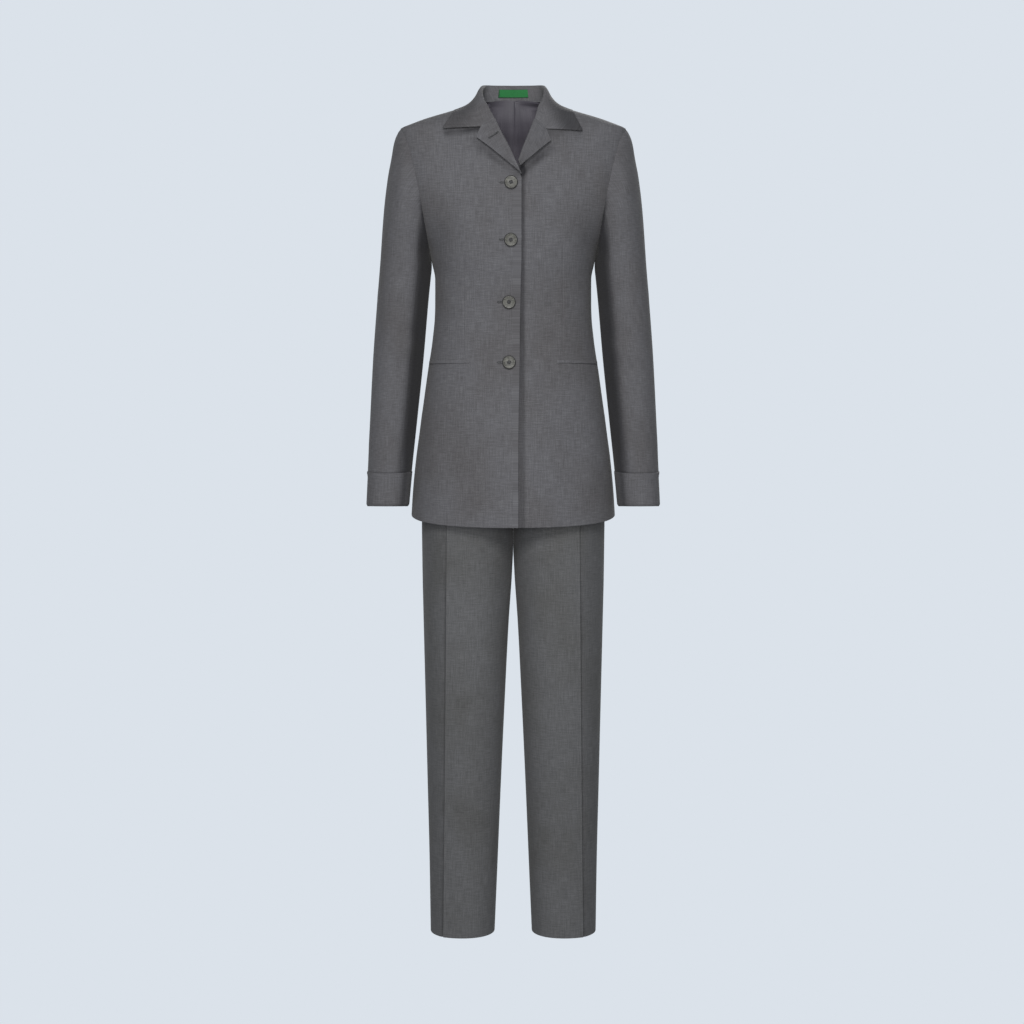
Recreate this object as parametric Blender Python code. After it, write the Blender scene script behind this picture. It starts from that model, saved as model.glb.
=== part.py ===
"""A two-piece suit of grey worsted: a four-button jacket with a notched collar over creased trousers.

It is filled out as if worn, and hollow. +Z is up, the front faces -Y and the wearer's left is +X.
The origin lies between the shoulders, level with the neck side of the shoulder seams.
Tables and lengths are in millimetres, heights count down from the origin, and angles are in degrees
round a level section: 0 at the side, 90 at the centre front and -90 at the centre back.
"""
import math

import bmesh
import bpy
from mathutils import Vector

MM = 0.001
SEAM_GAP = 0.3
JACKET_WALL = 1.8       # cloth with its canvas
TROUSER_WALL = 1.5
COLLAR_WALL = 1.6
TRIM_WALL = 1.2         # welts and the fly

JACKET_GREY = (0.122, 0.122, 0.125)
TROUSER_GREY = (0.082, 0.082, 0.085)
LINING_MAUVE = (0.080, 0.071, 0.084)
LABEL_GREEN = (0.017, 0.205, 0.052)
HORN_GREY = (0.095, 0.090, 0.075)

FRONT_OVERLAP = 13.7    # each front edge passes the centre by this
UNDERLAP_DEPTH = 2.5    # how far the hidden front edge lies behind the one on top
EDGE_COLUMNS = (37.7, 29.2, 13.7, 0.0)     # panel columns at these distances from the front edge
UNDERARM = -238.0
SHOULDER_TIP = -34.6
NECK_SIDE = 6.0
NECK_BACK = 12.0
LINING_END = -200.0     # as far down the back as the neck shows the lining
GORGE = -28.0           # where the lapel's fold meets the collar

BUTTON_SHANK = 0.8      # thread between cloth and button
WELT_HEIGHT = 5.3
WELT_LEVEL = -421.5
WELT_DROP = 4.0         # the welt falls towards the side seam
WELT_INNER_X = 71.0
CUFF_TOP = -607.5
CUFF_END = -667.5
CUFF_PROUD = 0.9
TRIM_LIFT = 0.75        # from a panel's outside to what lies on it
WAIST_TOP = -431.0
WAISTBAND_HEIGHT = 35.0
WAISTBAND_PROUD = 0.4
CROTCH_START = -620.0
CROTCH = -704.0
LEG_HEM = -1407.0
CREASE_RIDGE = 2.4


def table(columns, *rows):
    """Columns by name, from rows of values."""
    return {name: [row[place] for row in rows] for place, name in enumerate(columns.split())}


# The jacket's outer surface in level sections.
BODY = table(
    "z half front back power",
    (-700.0, 173.5, 139.0, 141.0, 2.45),
    (-640.0, 169.6, 136.0, 140.0, 2.45),
    (-590.0, 164.5, 132.0, 136.0, 2.45),
    (-540.0, 157.6, 127.0, 130.0, 2.45),
    (-488.0, 150.5, 121.0, 121.0, 2.45),
    (-440.0, 143.7, 116.0, 110.0, 2.4),
    (-387.0, 135.6, 111.0, 98.0, 2.4),
    (-337.0, 131.2, 109.0, 90.0, 2.4),
    (-287.0, 131.1, 113.0, 92.0, 2.4),
    (-262.0, 135.6, 117.0, 95.0, 2.4),
    (-238.0, 141.5, 119.5, 98.0, 2.4),
    (-210.0, 152.0, 121.0, 104.0, 2.4),
    (-179.0, 165.0, 120.5, 108.0, 2.4),
    (-142.0, 178.0, 117.5, 110.0, 2.4),
    (-90.0, 186.0, 104.0, 102.0, 2.4),
    (-60.0, 187.5, 87.0, 86.0, 2.4),
    (-34.6, 188.0, 69.0, 64.0, 2.4),
    (-33.6, 185.4, 68.0, 63.5, 2.4),
    (-17.6, 136.0, 57.0, 55.0, 2.35),
    (-8.0, 103.0, 51.0, 52.5, 2.3),
    (6.0, 62.0, 44.0, 50.5, 2.2),
    (12.0, 54.0, 41.0, 50.0, 2.2),
    (18.0, 50.0, 39.0, 49.5, 2.2),
)

# How far out the armhole seam lies in the front and in the back.
ARMHOLE = table(
    "z front back",
    (-238.0, 141.5, 141.5),
    (-230.0, 141.6, 142.6),
    (-210.0, 144.0, 147.5),
    (-179.0, 149.0, 156.0),
    (-142.0, 155.0, 163.0),
    (-90.0, 167.0, 172.0),
    (-60.0, 175.5, 179.0),
    (-45.0, 182.0, 184.0),
    (-34.6, 188.0, 188.0),
)

# Where each front turns back: its fold, outwards from the centre.
ROLL_LINE = table(
    "z left right",
    (-136.0, -13.7, -13.7),
    (-124.0, -6.0, -12.9),
    (-108.0, 4.0, -7.3),
    (-96.0, 10.0, -1.8),
    (-73.0, 18.2, 8.6),
    (-43.0, 30.0, 23.7),
    (-28.0, 35.6, 30.4),
)
BREAK = {"left": -136.0, "right": -124.0}

# The neck seam, from the gorge round the side of the neck.
NECKLINE = table(
    "z x",
    (-28.0, 35.0),
    (-24.0, 38.0),
    (-11.0, 48.0),
    (0.0, 57.0),
    (6.0, 62.0),
)

# Rows of the front and back panels: heights of both ends, and the steps to them from the row before.
FRONT_ROWS = table(
    "side_z centre_z steps",
    (-679.0, -690.0, 1),
    (-560.0, -562.0, 3),
    (-422.0, -422.0, 3),
    (-330.0, -323.0, 3),
    (-272.0, -224.0, 3),
    (-238.0, -172.0, 1),
    (-210.0, -150.0, 1),
    (-179.0, "break", 1),
    (-142.0, -104.0, 1),
    (-112.0, -84.0, 1),
    (-84.0, -62.0, 1),
    (-60.0, -43.0, 1),
    (-49.0, -28.0, 1),
    (-42.0, -18.0, 1),
    (-38.0, -9.0, 1),
    (-36.0, -2.0, 1),
    (SHOULDER_TIP, NECK_SIDE, 1),
)
BACK_ROWS = table(
    "side_z centre_z steps",
    (-679.0, -676.0, 1),
    (-560.0, -560.0, 2),
    (-440.0, -440.0, 2),
    (-337.0, -337.0, 2),
    (-272.0, -250.0, 1),
    (-238.0, -190.0, 1),
    (-210.0, -163.0, 1),
    (-179.0, -135.0, 1),
    (-142.0, -95.0, 1),
    (-112.0, -66.0, 1),
    (-86.0, -43.0, 1),
    (-68.0, -27.0, 1),
    (-55.0, -12.0, 1),
    (-47.0, NECK_BACK, 1),
)

# The lapel's outer edge from the break to its corner, and its notch, outwards from the centre.
LAPEL = {
    "left": {"fold": -97.0, "start": (11.0, -107.5), "corner": (60.5, -66.7), "notch": (52.4, -43.6)},
    "right": {"fold": -118.0, "start": (-10.0, -115.5), "corner": (58.9, -61.1), "notch": (50.8, -39.8)},
}
LAPEL_LIFT_FOLD = 1.6
LAPEL_LIFT_EDGE = 6.0
LAPEL_FOLD_INSET = 0.6
LAPEL_NOTCH = 0.6           # how far across the lapel's top edge its notch lies

# The collar, from the centre back to its front end: neck seam and outer edge lie on the body by
# height and angle, and the fold is a point in space.
COLLAR = table(
    "place neck_z neck_angle fold_x fold_y fold_z edge_z edge_angle",
    (0.0, 12.0, -90.0, 0.0, 47.0, 38.5, -14.0, -90.0),
    (1.0, 11.8, -62.0, 25.0, 46.2, 38.5, -14.0, -66.0),
    (2.0, 11.0, -38.0, 44.5, 39.5, 38.3, -12.5, -42.0),
    (3.0, 9.0, -18.0, 51.0, 24.0, 36.0, -9.0, -18.0),
    (4.0, 6.0, 0.0, 50.5, 2.0, 29.0, -7.0, 5.0),
    (5.0, 0.0, 46.0, 45.8, -31.0, 11.5, -8.0, 26.0),
    (6.0, -11.0, 68.0, 41.8, -46.0, -1.5, -15.0, 42.0),
)
# The collar's front end, from its fold over the notch to its tip, outwards from the centre.
COLLAR_END = {
    "left": table(
        "x z",
        (36.0, -27.4), (44.0, -35.5), (52.4, -43.2), (72.0, -44.7), (92.0, -46.1), (112.5, -47.4),
    ),
    "right": table(
        "x z",
        (30.8, -27.4), (40.8, -33.5), (50.8, -39.4), (72.0, -41.0), (93.0, -42.3), (114.7, -43.5),
    ),
}
COLLAR_LIFT = 2.9
FOLD_RADIUS = 2.0
NECK_SEAM_GAP = 1.1     # from the panels' neck edge to the collar's
FALL_SHARES = (0.0, 0.14, 0.32, 0.54, 0.77, 1.0)     # from the fold to the outer edge

# The sleeve below the cap, in level sections.
SLEEVE = table(
    "z outer inner depth middle power",
    (-668.0, 246.8, 176.0, 43.5, -46.0, 2.2),
    (-607.5, 244.0, 170.3, 46.5, -36.0, 2.2),
    (-520.0, 240.4, 161.2, 51.0, -22.0, 2.2),
    (-420.0, 235.5, 150.9, 56.0, -10.0, 2.2),
    (-320.0, 228.2, 142.2, 60.0, -2.0, 2.2),
    (-275.0, 224.4, 137.6, 61.5, 0.0, 2.2),
)
SLEEVE_TOP = -275.0
SLEEVE_COLUMNS = 18
# How the sleeve leaves the armhole, round it from the shoulder tip by the front.
CAP = table(
    "round x y z pull",
    (0.0, 0.34, 0.0, -0.94, 1.0),
    (0.125, 0.52, -0.26, -0.81, 1.0),
    (0.25, 0.72, -0.34, -0.60, 0.95),
    (0.375, 0.30, -0.20, -0.93, 0.7),
    (0.5, -0.06, 0.0, -1.0, 0.8),
    (0.625, 0.30, 0.20, -0.93, 0.7),
    (0.75, 0.72, 0.30, -0.62, 0.95),
    (0.875, 0.52, 0.24, -0.82, 1.0),
    (1.0, 0.34, 0.0, -0.94, 1.0),
)
CAP_STEPS = (0.0, 0.08, 0.19, 0.33, 0.48, 0.64, 0.81)
SLEEVE_LEVELS = (-275.0, -320.0, -370.0, -420.0, -470.0, -520.0, -565.0, CUFF_TOP + SEAM_GAP)
UNDER_SLEEVE = (6, 12)     # the columns of its front and back seams

# The trousers above the crotch, and one leg below it.
HIPS = table(
    "z half front back power",
    (-720.0, 154.8, 108.0, 112.0, 2.5),
    (-650.0, 155.4, 112.0, 117.0, 2.5),
    (-590.0, 155.6, 112.0, 118.0, 2.45),
    (-540.0, 155.4, 109.0, 116.0, 2.4),
    (-500.0, 146.0, 105.0, 110.0, 2.35),
    (-466.0, 134.0, 101.0, 101.0, 2.3),
    (-430.0, 126.0, 98.0, 92.0, 2.3),
)
LEG = table(
    "z outer inner front back power crease",
    (-1407.0, 143.0, 32.1, 53.0, 55.0, 2.15, 116.8),
    (-1283.0, 144.4, 26.8, 57.0, 59.0, 2.15, 115.3),
    (-1142.0, 147.3, 20.9, 64.0, 67.0, 2.15, 113.6),
    (-1003.0, 150.1, 14.5, 74.0, 77.0, 2.15, 111.9),
    (-864.0, 152.9, 7.7, 87.0, 90.0, 2.2, 110.2),
    (-795.0, 154.3, 3.6, 94.0, 97.0, 2.2, 109.4),
    (-704.0, 155.0, 0.6, 104.0, 107.0, 2.25, 108.2),
)
LEG_LEVELS = (-466.6, -500.0, -540.0, -590.0, -630.0, -662.0, -685.0, -699.0, -706.0, -740.0,
              -800.0, -900.0, -1010.0, -1130.0, -1260.0, LEG_HEM)
HALF_LEG_COLUMNS = 9
CREASE_COLUMN = 3

BUTTONS = table(
    "z x",
    (-421.4, -5.7),
    (-323.5, -5.7),
    (-223.3, -2.4),
    (-131.0, -2.4),
)
# A button's half section from its back to its dished face.
BUTTON_PROFILE = table(
    "radius height",
    (0.0, 0.0), (8.6, 0.0), (10.7, 0.9), (11.0, 2.2), (10.2, 3.4), (8.9, 3.5), (7.4, 2.7), (0.0, 2.5),
)
BUTTON_SIDES = 16

LABEL_PLACES = (-1.0, -0.5, 0.0, 0.5, 1.0)     # along the collar from its centre back
LABEL_SHARES = (0.28, 0.82)   # its lower and upper edge on the stand


def smooth(rows, column, at):
    """A column's value between rows, on a smooth line that never passes beyond them."""
    places = next(iter(rows.values()))
    values = rows[column]
    last = len(places) - 1
    at = min(max(at, places[0]), places[last])
    slopes = [(values[i + 1] - values[i]) / (places[i + 1] - places[i]) for i in range(last)]
    tangents = [slopes[0]]
    for before, after in zip(slopes, slopes[1:]):
        tangents.append(0.0 if before * after <= 0.0 else 2.0 * before * after / (before + after))
    tangents.append(slopes[-1])
    i = max(k for k in range(last) if places[k] <= at)
    step = places[i + 1] - places[i]
    t = (at - places[i]) / step
    start = (1.0 + 2.0 * t) * (1.0 - t) ** 2 * values[i] + t * (1.0 - t) ** 2 * step * tangents[i]
    return start + t * t * (3.0 - 2.0 * t) * values[i + 1] - t * t * (1.0 - t) * step * tangents[i + 1]


def signed_power(value, power):
    return math.copysign(abs(value) ** power, value)


def ease(t):
    t = min(max(t, 0.0), 1.0)
    return t * t * (3.0 - 2.0 * t)


def ring_point(shape, z, angle):
    """A point of a rounded level section."""
    power = 2.0 / smooth(shape, "power", z)
    across = math.cos(math.radians(angle))
    along = math.sin(math.radians(angle))
    half = smooth(shape, "half", z)
    depth = smooth(shape, "front" if along > 0.0 else "back", z)
    return Vector((half * signed_power(across, power), -depth * signed_power(along, power), z))


def ring_angle(shape, z, x):
    """The angle on the front of a section at a distance from the centre."""
    share = min(abs(x) / smooth(shape, "half", z), 1.0) ** (smooth(shape, "power", z) / 2.0)
    angle = math.degrees(math.acos(share))
    return angle if x >= 0.0 else 180.0 - angle


def ring_normal(shape, z, angle):
    upwards = ring_point(shape, z + 1.0, angle) - ring_point(shape, z - 1.0, angle)
    forwards = ring_point(shape, z, angle + 1.0) - ring_point(shape, z, angle - 1.0)
    return upwards.cross(forwards).normalized()


def on_body(z, angle, lift=0.0):
    return ring_point(BODY, z, angle) + ring_normal(BODY, z, angle) * lift


def on_front(x, z, lift=0.0):
    return on_body(z, ring_angle(BODY, z, x), lift)


def grid_normals(grid, closed=False):
    """Normals of a grid of points, from each point's neighbours."""
    normals = []
    for r, row in enumerate(grid):
        line = []
        for c, point in enumerate(row):
            left = row[c - 1] if closed or c > 0 else point
            right = row[(c + 1) % len(row)] if closed or c < len(row) - 1 else point
            below = grid[max(r - 1, 0)][c]
            above = grid[min(r + 1, len(grid) - 1)][c]
            line.append((right - left).cross(above - below).normalized())
        normals.append(line)
    return normals


def moved(grid, normals, distance):
    return [[p + n * distance for p, n in zip(*pair)] for pair in zip(grid, normals)]


def trimmed(grid, rows=True, columns=True, gap=SEAM_GAP / 2.0):
    """The grid with its outermost rows and columns drawn in by half a seam gap."""
    result = [list(row) for row in grid]
    if rows:
        for edge, inside in ((0, 1), (-1, -2)):
            for c, point in enumerate(grid[edge]):
                result[edge][c] = point + (grid[inside][c] - point).normalized() * gap
    if columns:
        for r, row in enumerate(result):
            for edge, inside in ((0, 1), (-1, -2)):
                row[edge] = row[edge] + (grid[r][inside] - grid[r][edge]).normalized() * gap
    return result


def mirrored(grid, side):
    """Grids are made on the wearer's left; the right side is their mirror image."""
    if side == "left":
        return grid
    return [[Vector((-p.x, p.y, p.z)) for p in row] for row in grid]


def make_material(name, colour, roughness):
    material = bpy.data.materials.new(name)
    material.use_nodes = True
    shader = material.node_tree.nodes["Principled BSDF"]
    shader.inputs["Base Color"].default_value = (*colour, 1.0)
    shader.inputs["Roughness"].default_value = roughness
    shader.inputs["Metallic"].default_value = 0.0
    return material


def finish_object(name, bm, material, sharp=40.0):
    """A named object from a closed mesh, its faces turned outwards and shaded smooth."""
    bmesh.ops.recalc_face_normals(bm, faces=bm.faces)
    if bm.calc_volume(signed=True) < 0.0:
        bmesh.ops.reverse_faces(bm, faces=bm.faces)
    mesh = bpy.data.meshes.new(name)
    bm.to_mesh(mesh)
    bm.free()
    mesh.materials.append(material)
    mesh.shade_smooth()
    mesh.set_sharp_from_angle(angle=math.radians(sharp))
    piece = bpy.data.objects.new(name, mesh)
    bpy.context.scene.collection.objects.link(piece)
    piece.parent = bpy.data.objects["suit"]
    return piece


def make_shell(name, outer, inner, material, closed=False):
    """A wall between two grids of points, closed round its edges."""
    bm = bmesh.new()
    skins = [[[bm.verts.new(p * MM) for p in row] for row in grid] for grid in (outer, inner)]
    columns = len(outer[0])
    spans = [(c, (c + 1) % columns) for c in range(columns if closed else columns - 1)]
    levels = range(len(outer) - 1)
    for skin in skins:
        for r in levels:
            for c, d in spans:
                bm.faces.new((skin[r][c], skin[r][d], skin[r + 1][d], skin[r + 1][c]))
    front, back = skins
    for r in (0, -1):
        for c, d in spans:
            bm.faces.new((front[r][c], front[r][d], back[r][d], back[r][c]))
    if not closed:
        for c in (0, -1):
            for r in levels:
                bm.faces.new((front[r][c], front[r + 1][c], back[r + 1][c], back[r][c]))
    return finish_object(name, bm, material)


def blended(low, high, share):
    return low + (high - low) * share


def panel_rows(rows, side):
    """Heights of both ends of each row of a panel."""
    ends = []
    for side_z, centre_z, steps in zip(*rows.values()):
        centre_z = BREAK[side] if centre_z == "break" else centre_z
        last = ends[-1] if ends else (side_z, centre_z)
        for step in range(1, steps + 1):
            ends.append((blended(last[0], side_z, step / steps), blended(last[1], centre_z, step / steps)))
    return ends


def side_angle(z, face):
    """The side seam below the underarm, and the armhole above it."""
    if z <= UNDERARM or z >= SHOULDER_TIP:
        return 0.0
    return ring_angle(BODY, z, smooth(ARMHOLE, face, z))


def front_edge_x(z, side):
    """The front edge, the fold above its break, and the neck seam above the gorge."""
    if z > GORGE:
        return smooth(NECKLINE, "x", z)
    return smooth(ROLL_LINE, side, z) if z > BREAK[side] else -FRONT_OVERLAP


def underlap(x):
    """How deep the hidden front edge lies at a distance from the centre."""
    far, near = (distance - FRONT_OVERLAP for distance in EDGE_COLUMNS[:2])
    return UNDERLAP_DEPTH * ease((far - x) / (far - near))


def front_places(side_z, centre_z, side, columns=7):
    """Heights and angles along a row: even from the side, then at set distances from the front edge."""
    start = side_angle(side_z, "front")
    if centre_z >= NECK_SIDE:
        angles = [0.0] * (columns + len(EDGE_COLUMNS))
    else:
        edge = front_edge_x(centre_z, side)
        ends = [ring_angle(BODY, centre_z, edge + distance) for distance in EDGE_COLUMNS]
        angles = [blended(start, ends[0], c / columns) for c in range(columns)] + ends
    last = len(angles) - 1
    return [(blended(side_z, centre_z, c / last), angle) for c, angle in enumerate(angles)]


def make_front(side, cloth):
    outer = []
    inner = []
    for side_z, centre_z in panel_rows(FRONT_ROWS, side):
        places = front_places(side_z, centre_z, side)
        sunk = [underlap(on_body(z, angle).x) if side == "left" else 0.0 for z, angle in places]
        outer.append([on_body(z, angle, -d) for (z, angle), d in zip(places, sunk)])
        inner.append([on_body(z, angle, -d - JACKET_WALL) for (z, angle), d in zip(places, sunk)])
    make_shell("front_" + side, mirrored(trimmed(outer), side), mirrored(trimmed(inner), side), cloth)


def back_places(side_z, centre_z, columns):
    start = -side_angle(side_z, "back")
    return [(blended(side_z, centre_z, c / columns), blended(start, -90.0, c / columns))
            for c in range(columns + 1)]


def back_rows(side, columns=8):
    """Places of the back's rows: level up to the nape, then fanned to the neck side."""
    rows = [back_places(side_z, centre_z, columns) for side_z, centre_z in panel_rows(BACK_ROWS, side)]
    neck = [(blended(NECK_BACK, NECK_SIDE, share), blended(-90.0, 0.0, share)) for share in (0.34, 0.67, 1.0)]
    armhole = (-41.0, -37.0, SHOULDER_TIP)
    for side_z, (neck_z, neck_angle) in zip(armhole, neck):
        start = -side_angle(side_z, "back")
        rows.append([(blended(side_z, neck_z, c / columns), blended(start, neck_angle, c / columns))
                     for c in range(columns + 1)])
    return rows


def make_back(side, cloth):
    rows = back_rows(side)
    outer = [[on_body(z, angle) for z, angle in row] for row in rows]
    inner = [[on_body(z, angle, -JACKET_WALL) for z, angle in row] for row in rows]
    make_shell("back_" + side, mirrored(trimmed(outer), side), mirrored(trimmed(inner), side), cloth)


def lapel_lift(across, along):
    """The lapel lies close at its fold and springs a little at its free edge."""
    return LAPEL_LIFT_FOLD + (LAPEL_LIFT_EDGE - LAPEL_LIFT_FOLD) * across ** 1.5 * (1.0 - 0.45 * along)


def make_lapel(side, cloth, rows=8, columns=5):
    shape = LAPEL[side]
    low = []
    high = []
    for r in range(rows + 1):
        along = r / rows
        fold_z = blended(shape["fold"], GORGE, along)
        fold = Vector((smooth(ROLL_LINE, side, fold_z) - LAPEL_FOLD_INSET, fold_z))
        start = Vector(shape["start"])
        edge = start.lerp(Vector(shape["corner"]), along ** 0.9)
        gorge = Vector((smooth(ROLL_LINE, side, GORGE), GORGE))
        notch = Vector(shape["notch"]) - gorge.lerp(Vector(shape["corner"]), LAPEL_NOTCH)
        lower = []
        upper = []
        for c in range(columns + 1):
            across = c / columns
            tent = min(across / LAPEL_NOTCH, (1.0 - across) / (1.0 - LAPEL_NOTCH))
            place = fold.lerp(edge, across) + notch * tent * along ** 5
            lift = lapel_lift(across, along)
            lower.append(on_front(place.x, place.y, lift - COLLAR_WALL / 2.0))
            upper.append(on_front(place.x, place.y, lift + COLLAR_WALL / 2.0))
        low.append(lower)
        high.append(upper)
    make_shell("lapel_" + side, mirrored(trimmed(high), side), mirrored(trimmed(low), side), cloth)


def collar_section(place):
    """The middle of the collar's wall: the neck seam, stand and fold, then the fall's feet and heights."""
    neck = [smooth(COLLAR, name, place) for name in ("neck_z", "neck_angle")]
    if neck[0] < NECK_SIDE:
        neck[1] = ring_angle(BODY, neck[0], smooth(NECKLINE, "x", neck[0]))
    edge = [smooth(COLLAR, name, place) for name in ("edge_z", "edge_angle")]
    fold = Vector(smooth(COLLAR, name, place) for name in ("fold_x", "fold_y", "fold_z"))
    seam = on_body(*neck, -JACKET_WALL / 2.0)
    seam = seam + (fold - seam).normalized() * NECK_SEAM_GAP
    outwards = Vector((on_body(*edge) - fold)[:2] + (0.0,)).normalized()
    stand_top = fold - outwards * FOLD_RADIUS * 0.5
    down = Vector((0.0, 0.0, -FOLD_RADIUS * 0.7))
    stand = [seam, seam.lerp(stand_top, 0.5), stand_top + down, fold + outwards * FOLD_RADIUS * 0.5]
    fall_top = fold + outwards * FOLD_RADIUS * 2.2 + down
    spring = fall_top - on_body(*neck, COLLAR_LIFT)
    feet = [[blended(neck[k], edge[k], share) for k in (0, 1)] for share in FALL_SHARES]
    springs = [spring * (1.0 - share) ** 3 for share in FALL_SHARES]
    return stand, feet, springs


def collar_end_section(side):
    """The collar's front end: a short stand, the gorge seam to the notch, and the lower edge to the tip."""
    shape = COLLAR_END[side]
    fold_x = shape["x"][0]
    seam_z = GORGE + 5.0
    seam_x = min(fold_x + 4.5, smooth(NECKLINE, "x", seam_z) - 1.5)
    stand = [on_front(blended(seam_x, fold_x - 0.2, share), blended(seam_z, GORGE + 0.8, share), lift)
             for share, lift in ((0.0, -0.4), (0.35, 0.5), (0.75, 1.2), (1.0, 2.2))]
    feet = [[z, ring_angle(BODY, z, x)] for x, z in zip(shape["x"], shape["z"])]
    feet[0][1] = ring_angle(BODY, feet[0][0], fold_x + 1.8)
    return stand, feet, [Vector((0.0, 0.0, 0.0))] * len(feet)


def foot_between(foot, other, share):
    """A place on the front, on the line between two others as seen from the front."""
    x = blended(on_body(*foot).x, on_body(*other).x, share)
    z = blended(foot[0], other[0], share)
    return [z, ring_angle(BODY, z, x)]


def collar_row(section, other=None, share=0.0):
    """A row of the collar's points, on the way from one section to another."""
    stand, feet, springs = section
    if other:
        stand = [a.lerp(b, share) for a, b in zip(stand, other[0])]
        feet = [foot_between(a, b, share) for a, b in zip(feet, other[1])]
        springs = [a.lerp(b, share) for a, b in zip(springs, other[2])]
    return stand + [on_body(*foot, COLLAR_LIFT) + spring for foot, spring in zip(feet, springs)]


def collar_rows():
    """The collar's rows from its right end round the back to its left end."""
    halves = []
    for side in ("right", "left"):
        half = [collar_row(collar_section(step / 2.0)) for step in range(13)]
        last = collar_section(6.0)
        end = collar_end_section(side)
        half += [collar_row(last, end, share) for share in (0.34, 0.67, 1.0)]
        halves.append(half)
    return mirrored(halves[0][1:], "right")[::-1] + halves[1]


def make_collar(cloth):
    rows = collar_rows()
    normals = grid_normals(rows)
    outer = moved(rows, normals, COLLAR_WALL / 2.0)
    inner = moved(rows, normals, -COLLAR_WALL / 2.0)
    make_shell("collar", trimmed(outer), trimmed(inner), cloth)


def armhole_loop():
    """Evenly spaced points round the armhole, from the shoulder tip by the front to the underarm and back."""
    fine = []
    for face, sign in (("front", 1.0), ("back", -1.0)):
        half = []
        for step in range(161):
            z = blended(SHOULDER_TIP, UNDERARM, 0.5 - 0.5 * math.cos(math.pi * step / 160.0))
            half.append(ring_point(BODY, z, sign * side_angle(z, face)))
        fine.append(half)
    loop = []
    for half in fine:
        lengths = [0.0]
        for before, after in zip(half, half[1:]):
            lengths.append(lengths[-1] + (after - before).length)
        marks = [lengths[-1] * 2.0 * c / SLEEVE_COLUMNS for c in range(SLEEVE_COLUMNS // 2 + 1)]
        points = []
        for mark in marks:
            k = max(i for i in range(len(half) - 1) if lengths[i] <= mark + 1e-6)
            share = (mark - lengths[k]) / (lengths[k + 1] - lengths[k])
            points.append(half[k].lerp(half[k + 1], min(share, 1.0)))
        loop.append(points)
    return loop[0][:-1] + loop[1][:0:-1]


def sleeve_point(z, round_share):
    """A point of the sleeve's level section; the share runs from the outside by the front."""
    angle = 2.0 * math.pi * round_share
    power = 2.0 / smooth(SLEEVE, "power", z)
    outer = smooth(SLEEVE, "outer", z)
    inner = smooth(SLEEVE, "inner", z)
    x = (outer + inner) / 2.0 + (outer - inner) / 2.0 * signed_power(math.cos(angle), power)
    y = smooth(SLEEVE, "middle", z) - smooth(SLEEVE, "depth", z) * signed_power(math.sin(angle), power)
    return Vector((x, y, z))


def sleeve_rows():
    """Rings of points down the whole sleeve, and the inside of its wall."""
    armhole = [p + Vector((0.45, 0.0, 0.0)) for p in armhole_loop()]
    rows = []
    for t in CAP_STEPS:
        row = []
        for c, start in enumerate(armhole):
            share = c / SLEEVE_COLUMNS
            end = sleeve_point(SLEEVE_TOP, share)
            reach = (end - start).length
            leave = Vector(smooth(CAP, axis, share) for axis in "xyz").normalized()
            leave = leave * reach * smooth(CAP, "pull", share)
            below = sleeve_point(SLEEVE_TOP - 20.0, share) - end
            arrive = below.normalized() * reach
            first = start * (1.0 + 2.0 * t) * (1.0 - t) ** 2 + leave * t * (1.0 - t) ** 2
            row.append(first + end * t * t * (3.0 - 2.0 * t) - arrive * t * t * (1.0 - t))
        rows.append(row)
    for z in SLEEVE_LEVELS:
        rows.append([sleeve_point(z, c / SLEEVE_COLUMNS) for c in range(SLEEVE_COLUMNS)])
    inner = moved(rows, grid_normals(rows, closed=True), -JACKET_WALL)
    for c, point in enumerate(rows[0]):
        axis = Vector((181.0, 0.0, min(max(point.z, -200.0), -130.0)))
        inner[0][c] = point + (axis - point).normalized() * JACKET_WALL
    return rows, inner


def make_sleeve(side, cloth):
    rows, inner = sleeve_rows()
    front_seam, back_seam = UNDER_SLEEVE
    under = list(range(front_seam, back_seam + 1))
    top = list(range(back_seam, SLEEVE_COLUMNS)) + list(range(front_seam + 1))
    for name, columns in (("top_sleeve_", top), ("under_sleeve_", under)):
        grids = [trimmed([[row[c] for c in columns] for row in grid], rows=False) for grid in (rows, inner)]
        make_shell(name + side, mirrored(grids[0], side), mirrored(grids[1], side), cloth)


def make_cuff(side, cloth, columns=24):
    """A band turned back round the end of the sleeve."""
    levels = (CUFF_TOP, blended(CUFF_TOP, CUFF_END, 0.5), CUFF_END)
    rows = [[sleeve_point(z, c / columns) for c in range(columns)] for z in levels]
    normals = grid_normals(rows, closed=True)
    outer = moved(rows, normals, CUFF_PROUD)
    inner = moved(rows, normals, -JACKET_WALL)
    make_shell("cuff_" + side, mirrored(outer, side), mirrored(inner, side), cloth, closed=True)


def make_welt(side, cloth, columns=8):
    """A narrow welt from inside the dart to the side seam."""
    half = WELT_HEIGHT / 2.0
    start = ring_angle(BODY, WELT_LEVEL, WELT_INNER_X)
    grids = []
    for lift in (TRIM_LIFT + TRIM_WALL, TRIM_LIFT):
        grids.append([[on_body(z - WELT_DROP * c / columns, blended(start, 2.5, c / columns), lift)
                       for c in range(columns + 1)] for z in (WELT_LEVEL - half, WELT_LEVEL + half)])
    make_shell("welt_" + side, mirrored(grids[0], side), mirrored(grids[1], side), cloth)


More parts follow.
